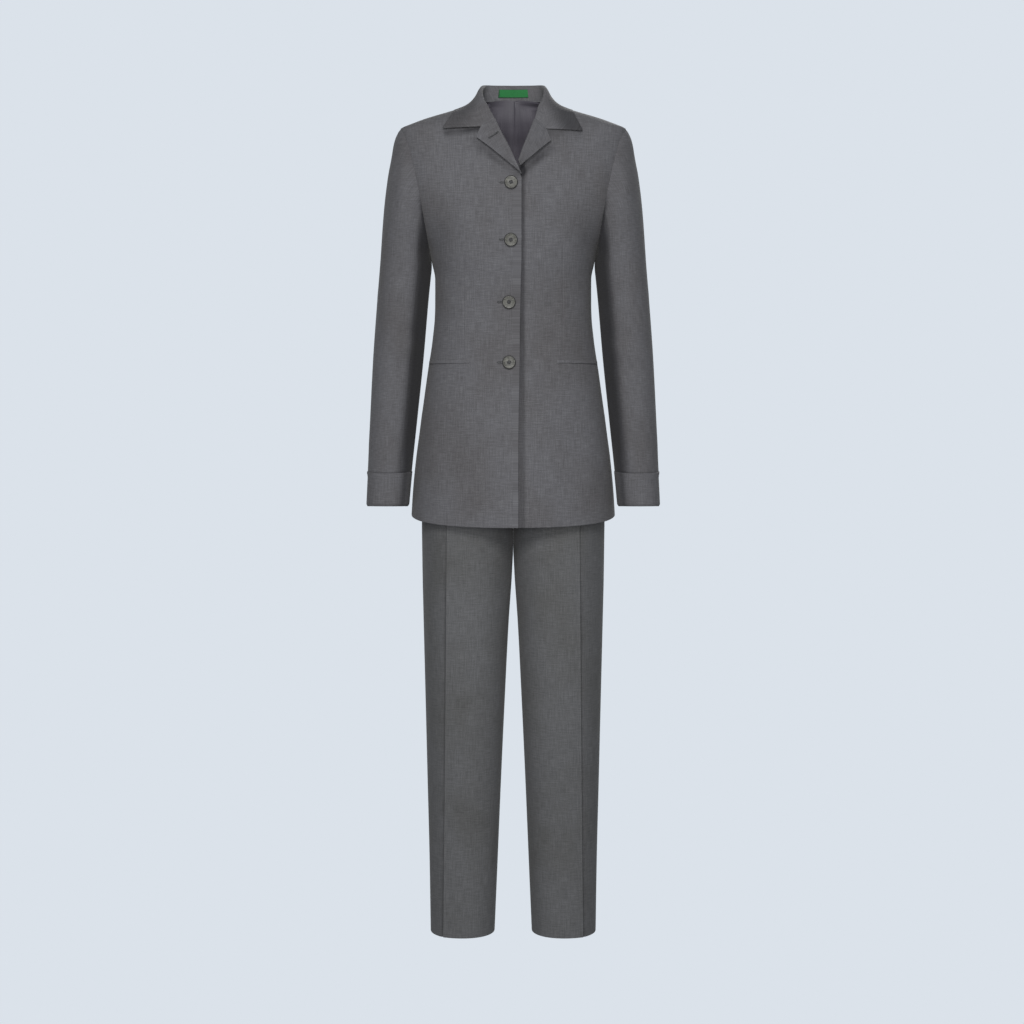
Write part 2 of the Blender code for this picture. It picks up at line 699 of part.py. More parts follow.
def make_button(name, seat, facing, horn):
    """A dished button turned round the line that stands out from the cloth."""
    turn = Vector((0.0, 0.0, 1.0)).rotation_difference(facing)
    bm = bmesh.new()
    rings = []
    for radius, height in zip(BUTTON_PROFILE["radius"], BUTTON_PROFILE["height"]):
        corners = [2.0 * math.pi * k / BUTTON_SIDES for k in range(BUTTON_SIDES if radius else 1)]
        spots = [Vector((radius * math.cos(a), radius * math.sin(a), height)) for a in corners]
        rings.append([bm.verts.new((seat + turn @ spot) * MM) for spot in spots])
    for low, high in zip(rings, rings[1:]):
        for k in range(BUTTON_SIDES):
            loop = (low[k % len(low)], low[(k + 1) % len(low)],
                    high[(k + 1) % len(high)], high[k % len(high)])
            bm.faces.new(list(dict.fromkeys(loop)))
    finish_object(name, bm, horn, sharp=50.0)


def make_jacket_buttons(horn):
    for number, (z, x) in enumerate(zip(BUTTONS["z"][::-1], BUTTONS["x"][::-1]), start=1):
        angle = ring_angle(BODY, z, x)
        make_button("button_%d" % number, on_body(z, angle, BUTTON_SHANK), ring_normal(BODY, z, angle), horn)


def make_lining(side, satin):
    """Half the back lining, as far down as the neck shows it, joined at the centre."""
    rows = [row[-5:] for row in back_rows(side)[:-1] if row[-1][0] > LINING_END]
    grids = [[[on_body(z, angle, -JACKET_WALL - depth) for z, angle in row] for row in rows]
             for depth in (0.5, 1.3)]
    grids = [mirrored(trimmed(grid), side) for grid in grids]
    make_shell("lining_back_" + side, grids[0], grids[1], satin)


def make_label(satin):
    """A bare woven label on the inside of the collar's stand."""
    rows = [[], []]
    for place in LABEL_PLACES:
        section = collar_section(abs(place))[0]
        for row, share in zip(rows, LABEL_SHARES):
            spot = section[0].lerp(section[2], share)
            row.append(Vector((math.copysign(spot.x, place), spot.y, spot.z)))
    inwards = grid_normals(rows)
    near = moved(rows, inwards, COLLAR_WALL / 2.0 + 0.6)
    far = moved(rows, inwards, COLLAR_WALL / 2.0 + 1.2)
    make_shell("neck_label", far, near, satin)


def leg_shares(z):
    """Angles of a half leg's columns round the hips and round the leg, with one column on the crease."""
    crease = smooth(LEG, "crease", z)
    outer = smooth(LEG, "outer", z)
    inner = smooth(LEG, "inner", z)
    middle = (outer + inner) / 2.0
    offset = (crease - middle) / ((outer - inner) / 2.0)
    leg_crease = math.degrees(math.acos(offset ** (smooth(LEG, "power", z) / 2.0)))
    hip_crease = ring_angle(HIPS, z, crease)
    shares = []
    for c in range(HALF_LEG_COLUMNS + 1):
        if c <= CREASE_COLUMN:
            share = c / CREASE_COLUMN
            shares.append((hip_crease * share, leg_crease * share))
        else:
            share = (c - CREASE_COLUMN) / (HALF_LEG_COLUMNS - CREASE_COLUMN)
            shares.append((blended(hip_crease, 90.0, share), blended(leg_crease, 180.0, share)))
    return shares


def leg_point(z, angle):
    power = 2.0 / smooth(LEG, "power", z)
    outer = smooth(LEG, "outer", z)
    inner = smooth(LEG, "inner", z)
    depth = smooth(LEG, "front" if angle > 0.0 else "back", z)
    across = signed_power(math.cos(math.radians(angle)), power)
    along = signed_power(math.sin(math.radians(angle)), power)
    return Vector(((outer + inner) / 2.0 + (outer - inner) / 2.0 * across, -depth * along, z))


def leg_row(z, sign):
    """From the outer seam to the centre seam or the inner leg seam, over the pressed crease."""
    fall = min(max((CROTCH_START - z) / (CROTCH_START - CROTCH), 0.0), 1.0)
    seam_share = 1.0 - math.sqrt(1.0 - fall * fall)
    cloth_share = ease((CROTCH_START + 20.0 - z) / 110.0)
    row = []
    for c, (hip_angle, leg_angle) in enumerate(leg_shares(z)):
        near_seam = (c / HALF_LEG_COLUMNS) ** 4
        share = blended(cloth_share, seam_share, near_seam)
        point = ring_point(HIPS, z, sign * hip_angle).lerp(leg_point(z, sign * leg_angle), share)
        point.x = max(point.x, 0.0)
        if c == CREASE_COLUMN:
            point.y -= sign * CREASE_RIDGE * ease((WAIST_TOP - z) / 120.0)
        row.append(point)
    return row


def make_leg(side, cloth):
    for name, sign in (("front_leg_", 1.0), ("back_leg_", -1.0)):
        rows = [leg_row(z, sign) for z in LEG_LEVELS]
        normals = grid_normals(rows)
        inner = moved(rows, normals, -sign * TROUSER_WALL)
        for outside, inside in zip(rows, inner):
            inside[0] = outside[0] + Vector((-TROUSER_WALL, 0.0, 0.0))
        for outside, inside, z in zip(rows, inner, LEG_LEVELS):
            if z > CROTCH:
                inside[-1].x = 0.0
            else:
                inside[-1] = outside[-1] + Vector((TROUSER_WALL, 0.0, 0.0))
        make_shell(name + side, mirrored(trimmed(rows), side), mirrored(trimmed(inner), side), cloth)


def make_waistband(cloth, columns=28):
    """A band round the waist, its ends meeting at the centre front."""
    levels = (WAIST_TOP - WAISTBAND_HEIGHT, WAIST_TOP)
    rows = [[ring_point(HIPS, z, 90.0 + 360.0 * c / columns) for c in range(columns + 1)] for z in levels]
    normals = [[ring_normal(HIPS, z, 90.0 + 360.0 * c / columns) for c in range(columns + 1)] for z in levels]
    outer = moved(rows, normals, WAISTBAND_PROUD)
    inner = moved(rows, normals, -TROUSER_WALL)
    make_shell("waistband", trimmed(outer, rows=False), trimmed(inner, rows=False), cloth)


def make_fly(cloth):
    """The fly's stitched guard over the centre front of the trousers."""
    levels = (-600.0, -560.0, -520.0, -468.0)
    widths = (9.0, 30.0, 36.0, 36.0)
    lifts = (TRIM_LIFT + TRIM_WALL, TRIM_LIFT)
    grids = [[[hip_front(blended(-1.0, width, c / 3.0), z, lift) for c in range(4)]
              for z, width in zip(levels, widths)] for lift in lifts]
    make_shell("fly", grids[0], grids[1], cloth)


def hip_front(x, z, lift):
    angle = ring_angle(HIPS, z, x)
    return ring_point(HIPS, z, angle) + ring_normal(HIPS, z, angle) * lift


def make_waist_button(horn):
    z = WAIST_TOP - WAISTBAND_HEIGHT / 2.0
    x = 14.0
    facing = ring_normal(HIPS, z, ring_angle(HIPS, z, x))
    make_button("waist_button", hip_front(x, z, WAISTBAND_PROUD + BUTTON_SHANK / 2.0), facing, horn)


def main():
    for old in list(bpy.data.objects):
        bpy.data.objects.remove(old, do_unlink=True)
    bpy.context.scene.collection.objects.link(bpy.data.objects.new("suit", None))
    jacket = make_material("jacket worsted", JACKET_GREY, 0.85)
    trousers = make_material("trouser worsted", TROUSER_GREY, 0.85)
    lining = make_material("lining satin", LINING_MAUVE, 0.5)
    label = make_material("woven label", LABEL_GREEN, 0.6)
    horn = make_material("horn", HORN_GREY, 0.35)
    for side in ("left", "right"):
        make_front(side, jacket)
        make_back(side, jacket)
        make_lapel(side, jacket)
        make_sleeve(side, jacket)
        make_cuff(side, jacket)
        make_welt(side, jacket)
        make_lining(side, lining)
        make_leg(side, trousers)
    make_collar(jacket)
    make_label(label)
    make_jacket_buttons(horn)
    make_waistband(trousers)
    make_fly(trousers)
    make_waist_button(horn)


main()
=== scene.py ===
import math
from functools import partial
import bpy
import numpy as np
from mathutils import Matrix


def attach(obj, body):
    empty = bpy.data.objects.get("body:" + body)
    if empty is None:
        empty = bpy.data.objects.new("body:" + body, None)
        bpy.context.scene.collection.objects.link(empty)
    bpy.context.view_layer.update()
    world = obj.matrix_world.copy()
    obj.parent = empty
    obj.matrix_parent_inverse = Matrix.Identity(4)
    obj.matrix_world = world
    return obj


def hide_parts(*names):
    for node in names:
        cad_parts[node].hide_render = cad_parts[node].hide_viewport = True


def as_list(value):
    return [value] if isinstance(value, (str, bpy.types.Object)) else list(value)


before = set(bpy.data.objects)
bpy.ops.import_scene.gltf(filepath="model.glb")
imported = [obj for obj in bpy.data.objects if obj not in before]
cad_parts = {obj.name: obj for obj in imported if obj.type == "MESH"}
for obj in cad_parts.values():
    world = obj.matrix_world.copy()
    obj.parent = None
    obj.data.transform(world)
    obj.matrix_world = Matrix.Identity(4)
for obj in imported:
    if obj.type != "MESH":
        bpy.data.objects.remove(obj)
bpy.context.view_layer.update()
print("frame loaded:", len(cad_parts), "nodes")

# A grey worsted suit, filled out as if worn. Lengths below are in mm, as a pattern cutter has them,
# heights count down from the neck side of the shoulders, and angles go round a level section:
# 0 at the side, 90 at the centre front, -90 at the centre back.
mm = 0.001


def table(columns, *rows):
    names = columns.split()
    return {name: np.array([row[place] for row in rows], dtype=float) for place, name in enumerate(names)}


body = table(  # the jacket's outside in level sections
    "z half front back power",
    (-700, 173.5, 139, 141, 2.45), (-640, 169.6, 136, 140, 2.45), (-590, 164.5, 132, 136, 2.45),
    (-540, 157.6, 127, 130, 2.45), (-488, 150.5, 121, 121, 2.45), (-440, 143.7, 116, 110, 2.4),
    (-387, 135.6, 111, 98, 2.4), (-337, 131.2, 109, 90, 2.4), (-287, 131.1, 113, 92, 2.4),
    (-262, 135.6, 117, 95, 2.4), (-238, 141.5, 119.5, 98, 2.4), (-210, 152, 121, 104, 2.4),
    (-179, 165, 120.5, 108, 2.4), (-142, 178, 117.5, 110, 2.4), (-90, 186, 104, 102, 2.4),
    (-60, 187.5, 87, 86, 2.4), (-34.6, 188, 69, 64, 2.4), (-33.6, 185.4, 68, 63.5, 2.4),
    (-17.6, 136, 57, 55, 2.35), (-8, 103, 51, 52.5, 2.3), (6, 62, 44, 50.5, 2.2),
    (12, 54, 41, 50, 2.2), (18, 50, 39, 49.5, 2.2),
)
armhole = table(  # how far out its seam lies
    "z front back",
    (-238, 141.5, 141.5), (-230, 141.6, 142.6), (-210, 144, 147.5), (-179, 149, 156), (-142, 155, 163),
    (-90, 167, 172), (-60, 175.5, 179), (-45, 182, 184), (-34.6, 188, 188),
)
rollLine = table(  # where each front folds back, outwards from the centre
    "z left right",
    (-136, -13.7, -13.7), (-124, -6, -12.9), (-108, 4, -7.3), (-96, 10, -1.8), (-73, 18.2, 8.6),
    (-43, 30, 23.7), (-28, 35.6, 30.4),
)
topEdge = table(  # the front edge that laps over, as it hangs
    "z x",
    (-690, -8.5), (-563, -8.5), (-524, -8.9), (-485, -9.6), (-446, -10.3), (-407, -10.9), (-368, -11.1),
    (-329, -11.9), (-290, -12.6), (-251, -13.7), (-124, -13.7),
)
neckline = table("z x", (-28, 35), (-24, 38), (-11, 48), (0, 57), (6, 62))
jacket = {
    "overlap": 13.7, "underlap": 2.5, "edgeColumns": (37.7, 29.2, 13.7, 0), "edgeShare": 0.7,
    "underarm": -238, "shoulderTip": -34.6, "neckSide": 6, "gorge": -28,
    "breaks": {"left": -136, "right": -124}, "wall": 1.3, "facing": 62, "dartX": 81,
    "dartTop": -224, "dartEnd": -412, "frontGrid": (170, 92), "backGrid": (150, 76), "liningGrid": (44, 40),
    "liningWall": 0.35, "liningInside": 3.2, "liningTop": 3.6, "pleat": 2, "seamRows": 20,
    "hem": table("share z", (0, -683), (0.12, -685), (0.3, -688.4), (0.5, -691), (0.7, -692.2), (1, -692.4)),
}

rolls = {  # how deep and how wide each kind of edge rolls down
    "seam": (0.35, 1.4), "turned": (0.7, 1.4), "shoulder": (0.5, 1.6), "centreSeam": (0.7, 1.8),
    "lapel": (0.6, 1.2), "collar": (0.7, 1.3), "sleeveSeam": (0.5, 1.5), "sleeveTop": (0.25, 1.2),
    "cuff": (0.8, 1.2), "welt": (0.9, 1.2), "label": (0.3, 0.7), "legSeam": (0.5, 1.8),
    "legHem": (0.6, 1.3), "waistband": (0.6, 1.3), "fly": (0.6, 1.2),
}


def rise(value, start, run):  # from 0 up to 1 over a run, softly at both ends; a run below 0 falls
    t = np.clip((value - start) / run, 0, 1)
    return t * t * (3 - 2 * t)


def hump(value, width, centre=0):
    return np.exp(-(((value - centre) / width) ** 2))


def softRun(start, end, leave, arrive, t):  # from start to end, with the slopes given at both
    low = start * (1 + 2 * t) * (1 - t) ** 2 + leave * t * (1 - t) ** 2
    return low + end * t * t * (3 - 2 * t) - arrive * t * t * (1 - t)


def between(places, values, slopes, at):
    i = np.clip(np.searchsorted(places, at, side="right") - 1, 0, len(places) - 2)
    step = places[i + 1] - places[i]
    t = (at - places[i]) / step
    t, step = (part.reshape(part.shape + (1,) * (values.ndim - 1)) for part in (t, step))
    return softRun(values[i], values[i + 1], slopes[i] * step, slopes[i + 1] * step, t)


def smooth(rows, column, at):  # a line through a column's values that never passes beyond them
    places, values = rows[next(iter(rows))], rows[column]
    slopes = np.diff(values) / np.diff(places)
    total = slopes[:-1] + slopes[1:]
    product = slopes[:-1] * slopes[1:]
    inner = np.where(product > 0, 2 * product / np.where(total == 0, 1, total), 0)
    return between(places, values, np.concatenate((slopes[:1], inner, slopes[-1:])),
                   np.clip(at, places[0], places[-1]))


def throughPoints(points, places, at):  # a soft curve through rows of points
    steps = np.diff(places).reshape(-1, *[1] * (points.ndim - 1))
    slopes = np.diff(points, axis=0) / steps
    middle = (slopes[:-1] * steps[1:] + slopes[1:] * steps[:-1]) / (steps[:-1] + steps[1:])
    return between(places, points, np.concatenate((slopes[:1], middle, slopes[-1:])), at)


def signedPower(value, power):
    return np.copysign(np.abs(value) ** power, value)


def blended(low, high, share):
    return low + (high - low) * share


def joined(*parts):
    return np.stack(np.broadcast_arrays(*parts), axis=-1)


def span(shape, z):  # the middle and the half width of a level section
    outer = smooth(shape, "outer" if "outer" in shape else "half", z)
    inner = smooth(shape, "inner", z) if "inner" in shape else -outer
    return (outer + inner) / 2, (outer - inner) / 2


def ringPoint(shape, z, angle):  # on the outline of a level section, which is squarer with more power
    power = 2 / smooth(shape, "power", z)
    middle, half = span(shape, z)
    across, along = np.cos(np.radians(angle)), np.sin(np.radians(angle))
    front, back = ("front", "back") if "front" in shape else ("depth", "depth")
    depth = np.where(along > 0, smooth(shape, front, z), smooth(shape, back, z))
    y = (smooth(shape, "middle", z) if "middle" in shape else 0) - depth * signedPower(along, power)
    return joined(middle + half * signedPower(across, power), y, z)


def ringAngle(shape, z, x):
    middle, half = span(shape, z)
    share = np.minimum(np.abs(x - middle) / half, 1) ** (smooth(shape, "power", z) / 2)
    angle = np.degrees(np.arccos(share))
    return np.where(x >= middle, angle, 180 - angle)


def unit(vectors):
    return vectors / np.maximum(np.linalg.norm(vectors, axis=-1, keepdims=True), 1e-9)


def ringNormal(shape, z, angle):
    upwards = ringPoint(shape, z + 1, angle) - ringPoint(shape, z - 1, angle)
    forwards = ringPoint(shape, z, angle + 1) - ringPoint(shape, z, angle - 1)
    return unit(np.cross(upwards, forwards))


def raised(base, normals, lift):
    return base + normals * np.asarray(lift)[..., None]


def onShape(shape, z, angle, lift=0):
    z, angle = np.asarray(z, dtype=float), np.asarray(angle, dtype=float)
    return raised(ringPoint(shape, z, angle), ringNormal(shape, z, angle), lift)


def onBody(z, angle, lift=0):
    return onShape(body, z, angle, lift)


def onFront(x, z, lift=0):
    return onBody(z, ringAngle(body, z, x), lift)


def gridNormals(points, outward=1):
    return unit(np.cross(np.gradient(points, axis=1), np.gradient(points, axis=0))) * outward


def turnedOut(normals, base, centre):  # all of them made to point away from the middle
    return normals * np.sign(np.sum(normals * (base - centre), axis=-1).mean())


def arcs(points, axis):  # lengths along a grid's lines
    steps = np.linalg.norm(np.diff(points, axis=axis), axis=-1)
    start = np.zeros_like(np.take(steps, [0], axis=axis))
    return np.concatenate((start, np.cumsum(steps, axis=axis)), axis=axis)


def toEdges(lengths, axis=1):  # the same lengths measured from the lines' other end
    return np.take(lengths, [-1], axis=axis) - lengths


def marks(length, count, fine=(0, 0.35, 0.8, 1.5, 2.6, 4.2)):  # even places, closer at both edges
    fine = np.array(fine) / length
    middle = np.linspace(fine[-1], 1 - fine[-1], count)[1:-1]
    return np.concatenate((fine, middle, 1 - fine[::-1]))


girthLevels = np.linspace(-700, 18, 144)
girths = arcs(ringPoint(body, girthLevels[:, None], np.linspace(-90, 90, 181)[None, :]), 1)


def girth(z, angle):  # the way round a level section from the centre back
    row = np.clip((z - girthLevels[0]) / (girthLevels[1] - girthLevels[0]), 0, len(girthLevels) - 1.001)
    column = np.clip(angle + 90, 0, 179.999)
    r, c = row.astype(int), column.astype(int)
    near = blended(girths[r, c], girths[r, c + 1], column - c)
    return blended(near, blended(girths[r + 1, c], girths[r + 1, c + 1], column - c), row - r)


def sloped(points):  # the shoulders fall a little faster towards their tips
    out, z = np.abs(points[..., 0]), points[..., 2]
    fall = 1.6 * rise(out, 143, 42) * rise(z, -90, 50)
    fall = fall + 1.3 * rise(out, 180, 8) * rise(z, -52, 10)
    return points - joined(0, 0, fall)


def edgeDrop(away, kind):  # how far a turned or sewn edge rolls down
    depth, width = rolls[kind]
    t = np.clip(1 - away / width, 0, 1)
    return -depth * (1 - np.sqrt(1 - t * t))


def creased(x, z, lines):  # soft troughs and ridges along slanting lines: height, then half width
    lift = np.zeros(np.broadcast(x, z).shape)
    for x0, z0, x1, z1, height, width in lines:
        run = (x1 - x0) ** 2 + (z1 - z0) ** 2
        along = np.clip(((x - x0) * (x1 - x0) + (z - z0) * (z1 - z0)) / run, 0, 1)
        away = np.hypot(x - blended(x0, x1, along), z - blended(z0, z1, along))
        swell = 0.55 + 0.45 * np.sin(math.pi * along + 0.4) * np.cos(0.021 * (x0 + z0) + 2.2 * along)
        lift = lift + height * swell * hump(away, width)
    return lift


def linear(colour):  # sRGB hex to scene colour
    parts = [int(colour[k:k + 2], 16) / 255 for k in (1, 3, 5)]
    return tuple(p / 12.92 if p <= 0.04045 else ((p + 0.055) / 1.055) ** 2.4 for p in parts) + (1,)


def addNode(tree, kind, settings=None, links=None):
    node = tree.nodes.new("ShaderNode" + kind)
    for name, value in (settings or {}).items():
        if isinstance(name, int) or name in node.inputs:
            node.inputs[name].default_value = value
        else:
            setattr(node, name, value)
    for name, source in (links or {}).items():
        tree.links.new(source, node.inputs[name])
    return node.outputs


def newMaterial(name, place, roughness, sheen=0, sheenRoughness=0.5, sheenTint="#ffffff", ior=1.5):
    material = bpy.data.materials.new(name)
    material.use_nodes = True
    tree = material.node_tree
    shader = tree.nodes["Principled BSDF"].inputs
    values = {"Roughness": roughness, "IOR": ior, "Sheen Weight": sheen, "Sheen Roughness": sheenRoughness,
              "Sheen Tint": linear(sheenTint)}
    for key, value in values.items():
        shader[key].default_value = value
    cloth = place == "cloth"
    places = addNode(tree, "UVMap", {"uv_map": "cloth"})[0] if cloth else addNode(tree, "TexCoord")["Object"]
    return (material, tree, shader), tree, places


def noise(tree, place, scale, detail, roughness=0.5, distortion=0):
    spread = addNode(tree, "Mapping", {"Scale": scale}, {"Vector": place})
    settings = {"Scale": 1, "Detail": detail, "Roughness": roughness, "Distortion": distortion}
    return addNode(tree, "TexNoise", settings, {"Vector": spread[0]})[0]


def summed(tree, operation, first, second, third=None):  # each is a number or another node's output
    values = {k: v for k, v in enumerate((first, second, third)) if v is not None}
    numbers = {k: v for k, v in values.items() if isinstance(v, float)}
    links = {k: v for k, v in values.items() if k not in numbers}
    return addNode(tree, "Math", {"operation": operation, **numbers}, links)[0]


def ranged(tree, value, settings):
    return addNode(tree, "MapRange", settings, {"Value": value})[0]


def mixed(tree, amount, first, second, blend="MIX"):  # each is a colour or another node's output
    colours = {6: first, 7: second}
    fixed = {k: linear(v) for k, v in colours.items() if isinstance(v, str)}
    links = {k: v for k, v in colours.items() if k not in fixed}
    settings = {"data_type": "RGBA", "blend_type": blend, **fixed}
    return addNode(tree, "Mix", settings, {0: amount, **links})[2]


def shaded(tree, amount, places, colours):  # three colours in turn, at their places along the amount
    addNode(tree, "ValToRGB", links={"Fac": amount})
    ramp = tree.nodes[-1]
    stops = ramp.color_ramp.elements
    stops.new(0.5)
    for stop, place, colour in zip(stops, places, colours):
        stop.position, stop.color = place, linear(colour)
    return ramp.outputs[0]


def finishMaterial(look, colour, height=None, strength=0, depth=0):
    material, tree, shader = look
    tree.links.new(colour, shader["Base Color"])
    if height:
        bump = addNode(tree, "Bump", {"Strength": strength, "Distance": depth * mm}, {"Height": height})
        tree.links.new(bump[0], shader["Normal"])
    return material


# Worsted melange: dark and pale fibres spun together, so the grey is made of fine streaks and slubs
# that run with the warp and weft. The real threads are 0.35 mm; they are drawn at 0.9 mm to show.
worsted = {"thread": 0.9, "streakWidth": 1.7, "streakLength": 26, "slubWidth": 1.9, "slubLength": 17,
           "blotch": 95, "bump": 0.06}


def clothScale(width, length):  # noise cells of a width across and a length along the warp
    return (1 / (width * mm), 1 / (length * mm), 1)


def pressedColour(tree, colour):  # painted shade: darker by each point's painted shade amount, where shade falls close under another piece, beside folds and between parts
    amount = addNode(tree, "Attribute", {"attribute_name": "pressed"})["Fac"]
    return mixed(tree, amount, colour, "#6a6a70", "MULTIPLY")


def worstedMaterial(name, warm, *colours):
    look, tree, place = newMaterial(name, "cloth", 0.88, 0.12, 0.45, "#d8d6d2")
    cells = {
        "streak": clothScale(worsted["streakWidth"], worsted["streakLength"]),
        "slub": clothScale(worsted["slubLength"], worsted["slubWidth"]),
        "fleck": clothScale(1.5, 1.5),
        "blotch": clothScale(worsted["blotch"], worsted["blotch"] * 1.5),
    }
    noises = {key: noise(tree, place, scale, 2, 0.55) for key, scale in cells.items()}
    grain = summed(tree, "ADD", noises["streak"], noises["slub"])
    grain = summed(tree, "MULTIPLY_ADD", noises["fleck"], 0.9, grain)
    fibres = shaded(tree, ranged(tree, grain, {"From Min": 0.9, "From Max": 2}), (0.1, 0.5, 0.9), colours)
    patch = ranged(tree, noises["blotch"], {"From Min": 0.42, "From Max": 0.68, "To Max": 0.5})
    colour = pressedColour(tree, mixed(tree, patch, fibres, warm, "MULTIPLY"))
    scale = clothScale(worsted["thread"], worsted["thread"])
    slanted = {"Scale": scale, "Rotation": (0, 0, math.radians(45))}
    threads = addNode(tree, "Mapping", slanted, {"Vector": place})
    twill = addNode(tree, "TexWave", {"Scale": 0.32, "Distortion": 1.2, "Detail": 1}, {"Vector": threads[0]})
    height = summed(tree, "MULTIPLY_ADD", grain, 0.5, twill["Fac"])
    return finishMaterial(look, colour, height, 0.6, worsted["bump"])


def satinMaterial(name, dark, pale):  # viscose lining satin: close warp floats, so a soft gloss
    look, tree, place = newMaterial(name, "cloth", 0.6, 0.12, sheenTint="#cfc6d8")
    floats = noise(tree, place, clothScale(1.2, 40), 2)
    folds = noise(tree, place, clothScale(14, 60), 1)
    # the paler streaks mixed into the colour are painted sheen, along the floats and soft folds
    paintedSheen = ranged(tree, summed(tree, "MULTIPLY", floats, folds), {"From Min": 0.1, "From Max": 0.42})
    colour = pressedColour(tree, mixed(tree, paintedSheen, dark, pale))
    return finishMaterial(look, colour, floats, 0.3, 0.03)


def labelMaterial(name, dark, pale):  # damask-woven polyester ribbon: close ribs across its length
    look, tree, place = newMaterial(name, "cloth", 0.7, 0.04)
    spread = addNode(tree, "Mapping", {"Scale": clothScale(0.9, 0.9)}, {"Vector": place})
    ribs = addNode(tree, "TexWave", {"Scale": 0.3, "bands_direction": "Y", "Distortion": 0.6},
                   {"Vector": spread[0]})["Fac"]
    return finishMaterial(look, mixed(tree, ribs, dark, pale), ribs, 0.5, 0.08)


def hornMaterial(name, *colours, roughness=0.6):  # buffalo horn, turned and polished: cloudy streaks
    look, tree, place = newMaterial(name, "object", roughness, ior=1.55)
    clouds = noise(tree, place, (130, 130, 420), 5, 0.6, 1.4)
    streaks = shaded(tree, clouds, (0.36, 0.52, 0.68), colours)
    return finishMaterial(look, streaks, clouds, 0.2, 0.03)


def threadMaterial(name, dark, pale):  # twisted polyester-cored silk
    look, tree, place = newMaterial(name, "object", 0.6, 0.3)
    twist = noise(tree, place, (2200, 2200, 2200), 1)
    return finishMaterial(look, mixed(tree, twist, dark, pale))


jacketCloth = worstedMaterial("jacket worsted wool", "#d8d2cc", "#515052", "#605f62", "#707073")
trouserCloth = worstedMaterial("trouser worsted wool", "#dcdad2", "#505051", "#5f5f60", "#6d6d6f")
lining = satinMaterial("viscose satin lining", "#65616b", "#7b7780")
labelCloth = labelMaterial("woven polyester label", "#00501e", "#008238")
labelBorder = labelMaterial("label's woven selvedge", "#0a3a1c", "#11522a")
horn = hornMaterial("polished buffalo horn", "#45443e", "#64635c", "#82817a", roughness=0.4)
# darker copies of the horn, painted shade for the dish and for the centre and the side
hornShade = hornMaterial("horn painted in half shade in the dished middle", "#3a3934", "#504f49", "#6b6a62", roughness=0.55)
hornDeepShade = hornMaterial("horn painted in deep shade round the side", "#1f1e1c", "#2c2b28", "#3b3a35")
thread = threadMaterial("twisted thread", "#2a2a2c", "#48484a")
print("materials made")


def setAll(thing, **values):
    for name, value in values.items():
        setattr(thing, name, value)


def addObject(name, data):
    piece = bpy.data.objects.new(name, data)
    bpy.context.scene.collection.objects.link(piece)
    return piece


def clear():
    bpy.ops.object.select_all(action="DESELECT")


def selectOnly(piece):
    clear()
    piece.select_set(True)
    bpy.context.view_layer.objects.active = piece


def joinPieces(pieces, name):
    selectOnly(pieces[0])
    for piece in pieces[1:]:
        piece.select_set(True)
    bpy.ops.object.join()
    piece = bpy.context.object
    piece.name = piece.data.name = name
    return piece


def weld(piece, **spin):  # spun round first if told how, then points at the same place become one
    selectOnly(piece)
    bpy.ops.object.mode_set(mode="EDIT")
    bpy.ops.mesh.select_all(action="SELECT")
    if spin:
        bpy.ops.mesh.spin(center=(0, 0, 0), axis=(0, 0, 1), **spin)
        bpy.ops.mesh.select_all(action="SELECT")
    bpy.ops.mesh.remove_doubles(threshold=0.00002)
    if spin:
        bpy.ops.mesh.normals_make_consistent(inside=False)
    bpy.ops.object.mode_set(mode="OBJECT")


def paint(piece, *materials):
    for material in materials:
        piece.data.materials.append(material)


def spotsOf(mesh):
    spots = np.empty(len(mesh.vertices) * 3, dtype=np.float32)
    mesh.vertices.foreach_get("co", spots)
    return spots.reshape(-1, 3)


def moveSpots(mesh, spots):
    mesh.vertices.foreach_set("co", spots.astype(np.float32).ravel())
    mesh.update()


def layGrid(name, points, flat, pressed):  # a flat grid, its points moved to their places on the garment
    rows, columns = points.shape[0] - 1, points.shape[1] - 1
    clear()
    bpy.ops.mesh.primitive_grid_add(x_subdivisions=columns, y_subdivisions=rows, size=1)
    piece = bpy.context.object
    piece.name = piece.data.name = name
    mesh = piece.data
    spots = spotsOf(mesh)
    place = tuple(np.rint((spots[:, k] + 0.5) * count).astype(int) for k, count in ((1, rows), (0, columns)))
    moveSpots(mesh, points[place] * mm)
    corners = np.empty(len(mesh.loops), dtype=np.int32)
    mesh.loops.foreach_get("vertex_index", corners)
    layer = mesh.uv_layers.active
    layer.name = "cloth"
    layer.data.foreach_set("uv", (flat[place][corners] * mm).astype(np.float32).ravel())
    # each point's amount of painted shade, which the cloth's material reads
    if pressed is not None:
        amounts = mesh.attributes.new("pressed", "FLOAT", "POINT")
        pressed = np.broadcast_to(pressed, points.shape[:2])[place]
        amounts.data.foreach_set("value", pressed.astype(np.float32))
    return piece


def thicken(piece, materials, wall=jacket["wall"], closed=False, offset=-1, facing=None):
    if closed:
        weld(piece)
    paint(piece, *materials)
    if facing:  # the facing behind the front edge is cloth, not lining
        for face in piece.data.polygons:
            if abs(face.center.x) < facing * mm:
                face.material_index = 2
    selectOnly(piece)
    setAll(piece.modifiers.new("wall", "SOLIDIFY"), thickness=wall * mm, offset=offset, material_offset=1,
           material_offset_rim=0)
    bpy.ops.object.modifier_apply(modifier="wall")
    bpy.ops.object.shade_smooth_by_angle(angle=math.radians(50))


def belongs(piece, slot, node=None):
    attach(piece, "root")
    if node:
        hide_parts(node)


def makeBoth(stage, *makers):
    for side in ("left", "right"):
        for maker in makers:
            maker(side)
    print(stage, "made")


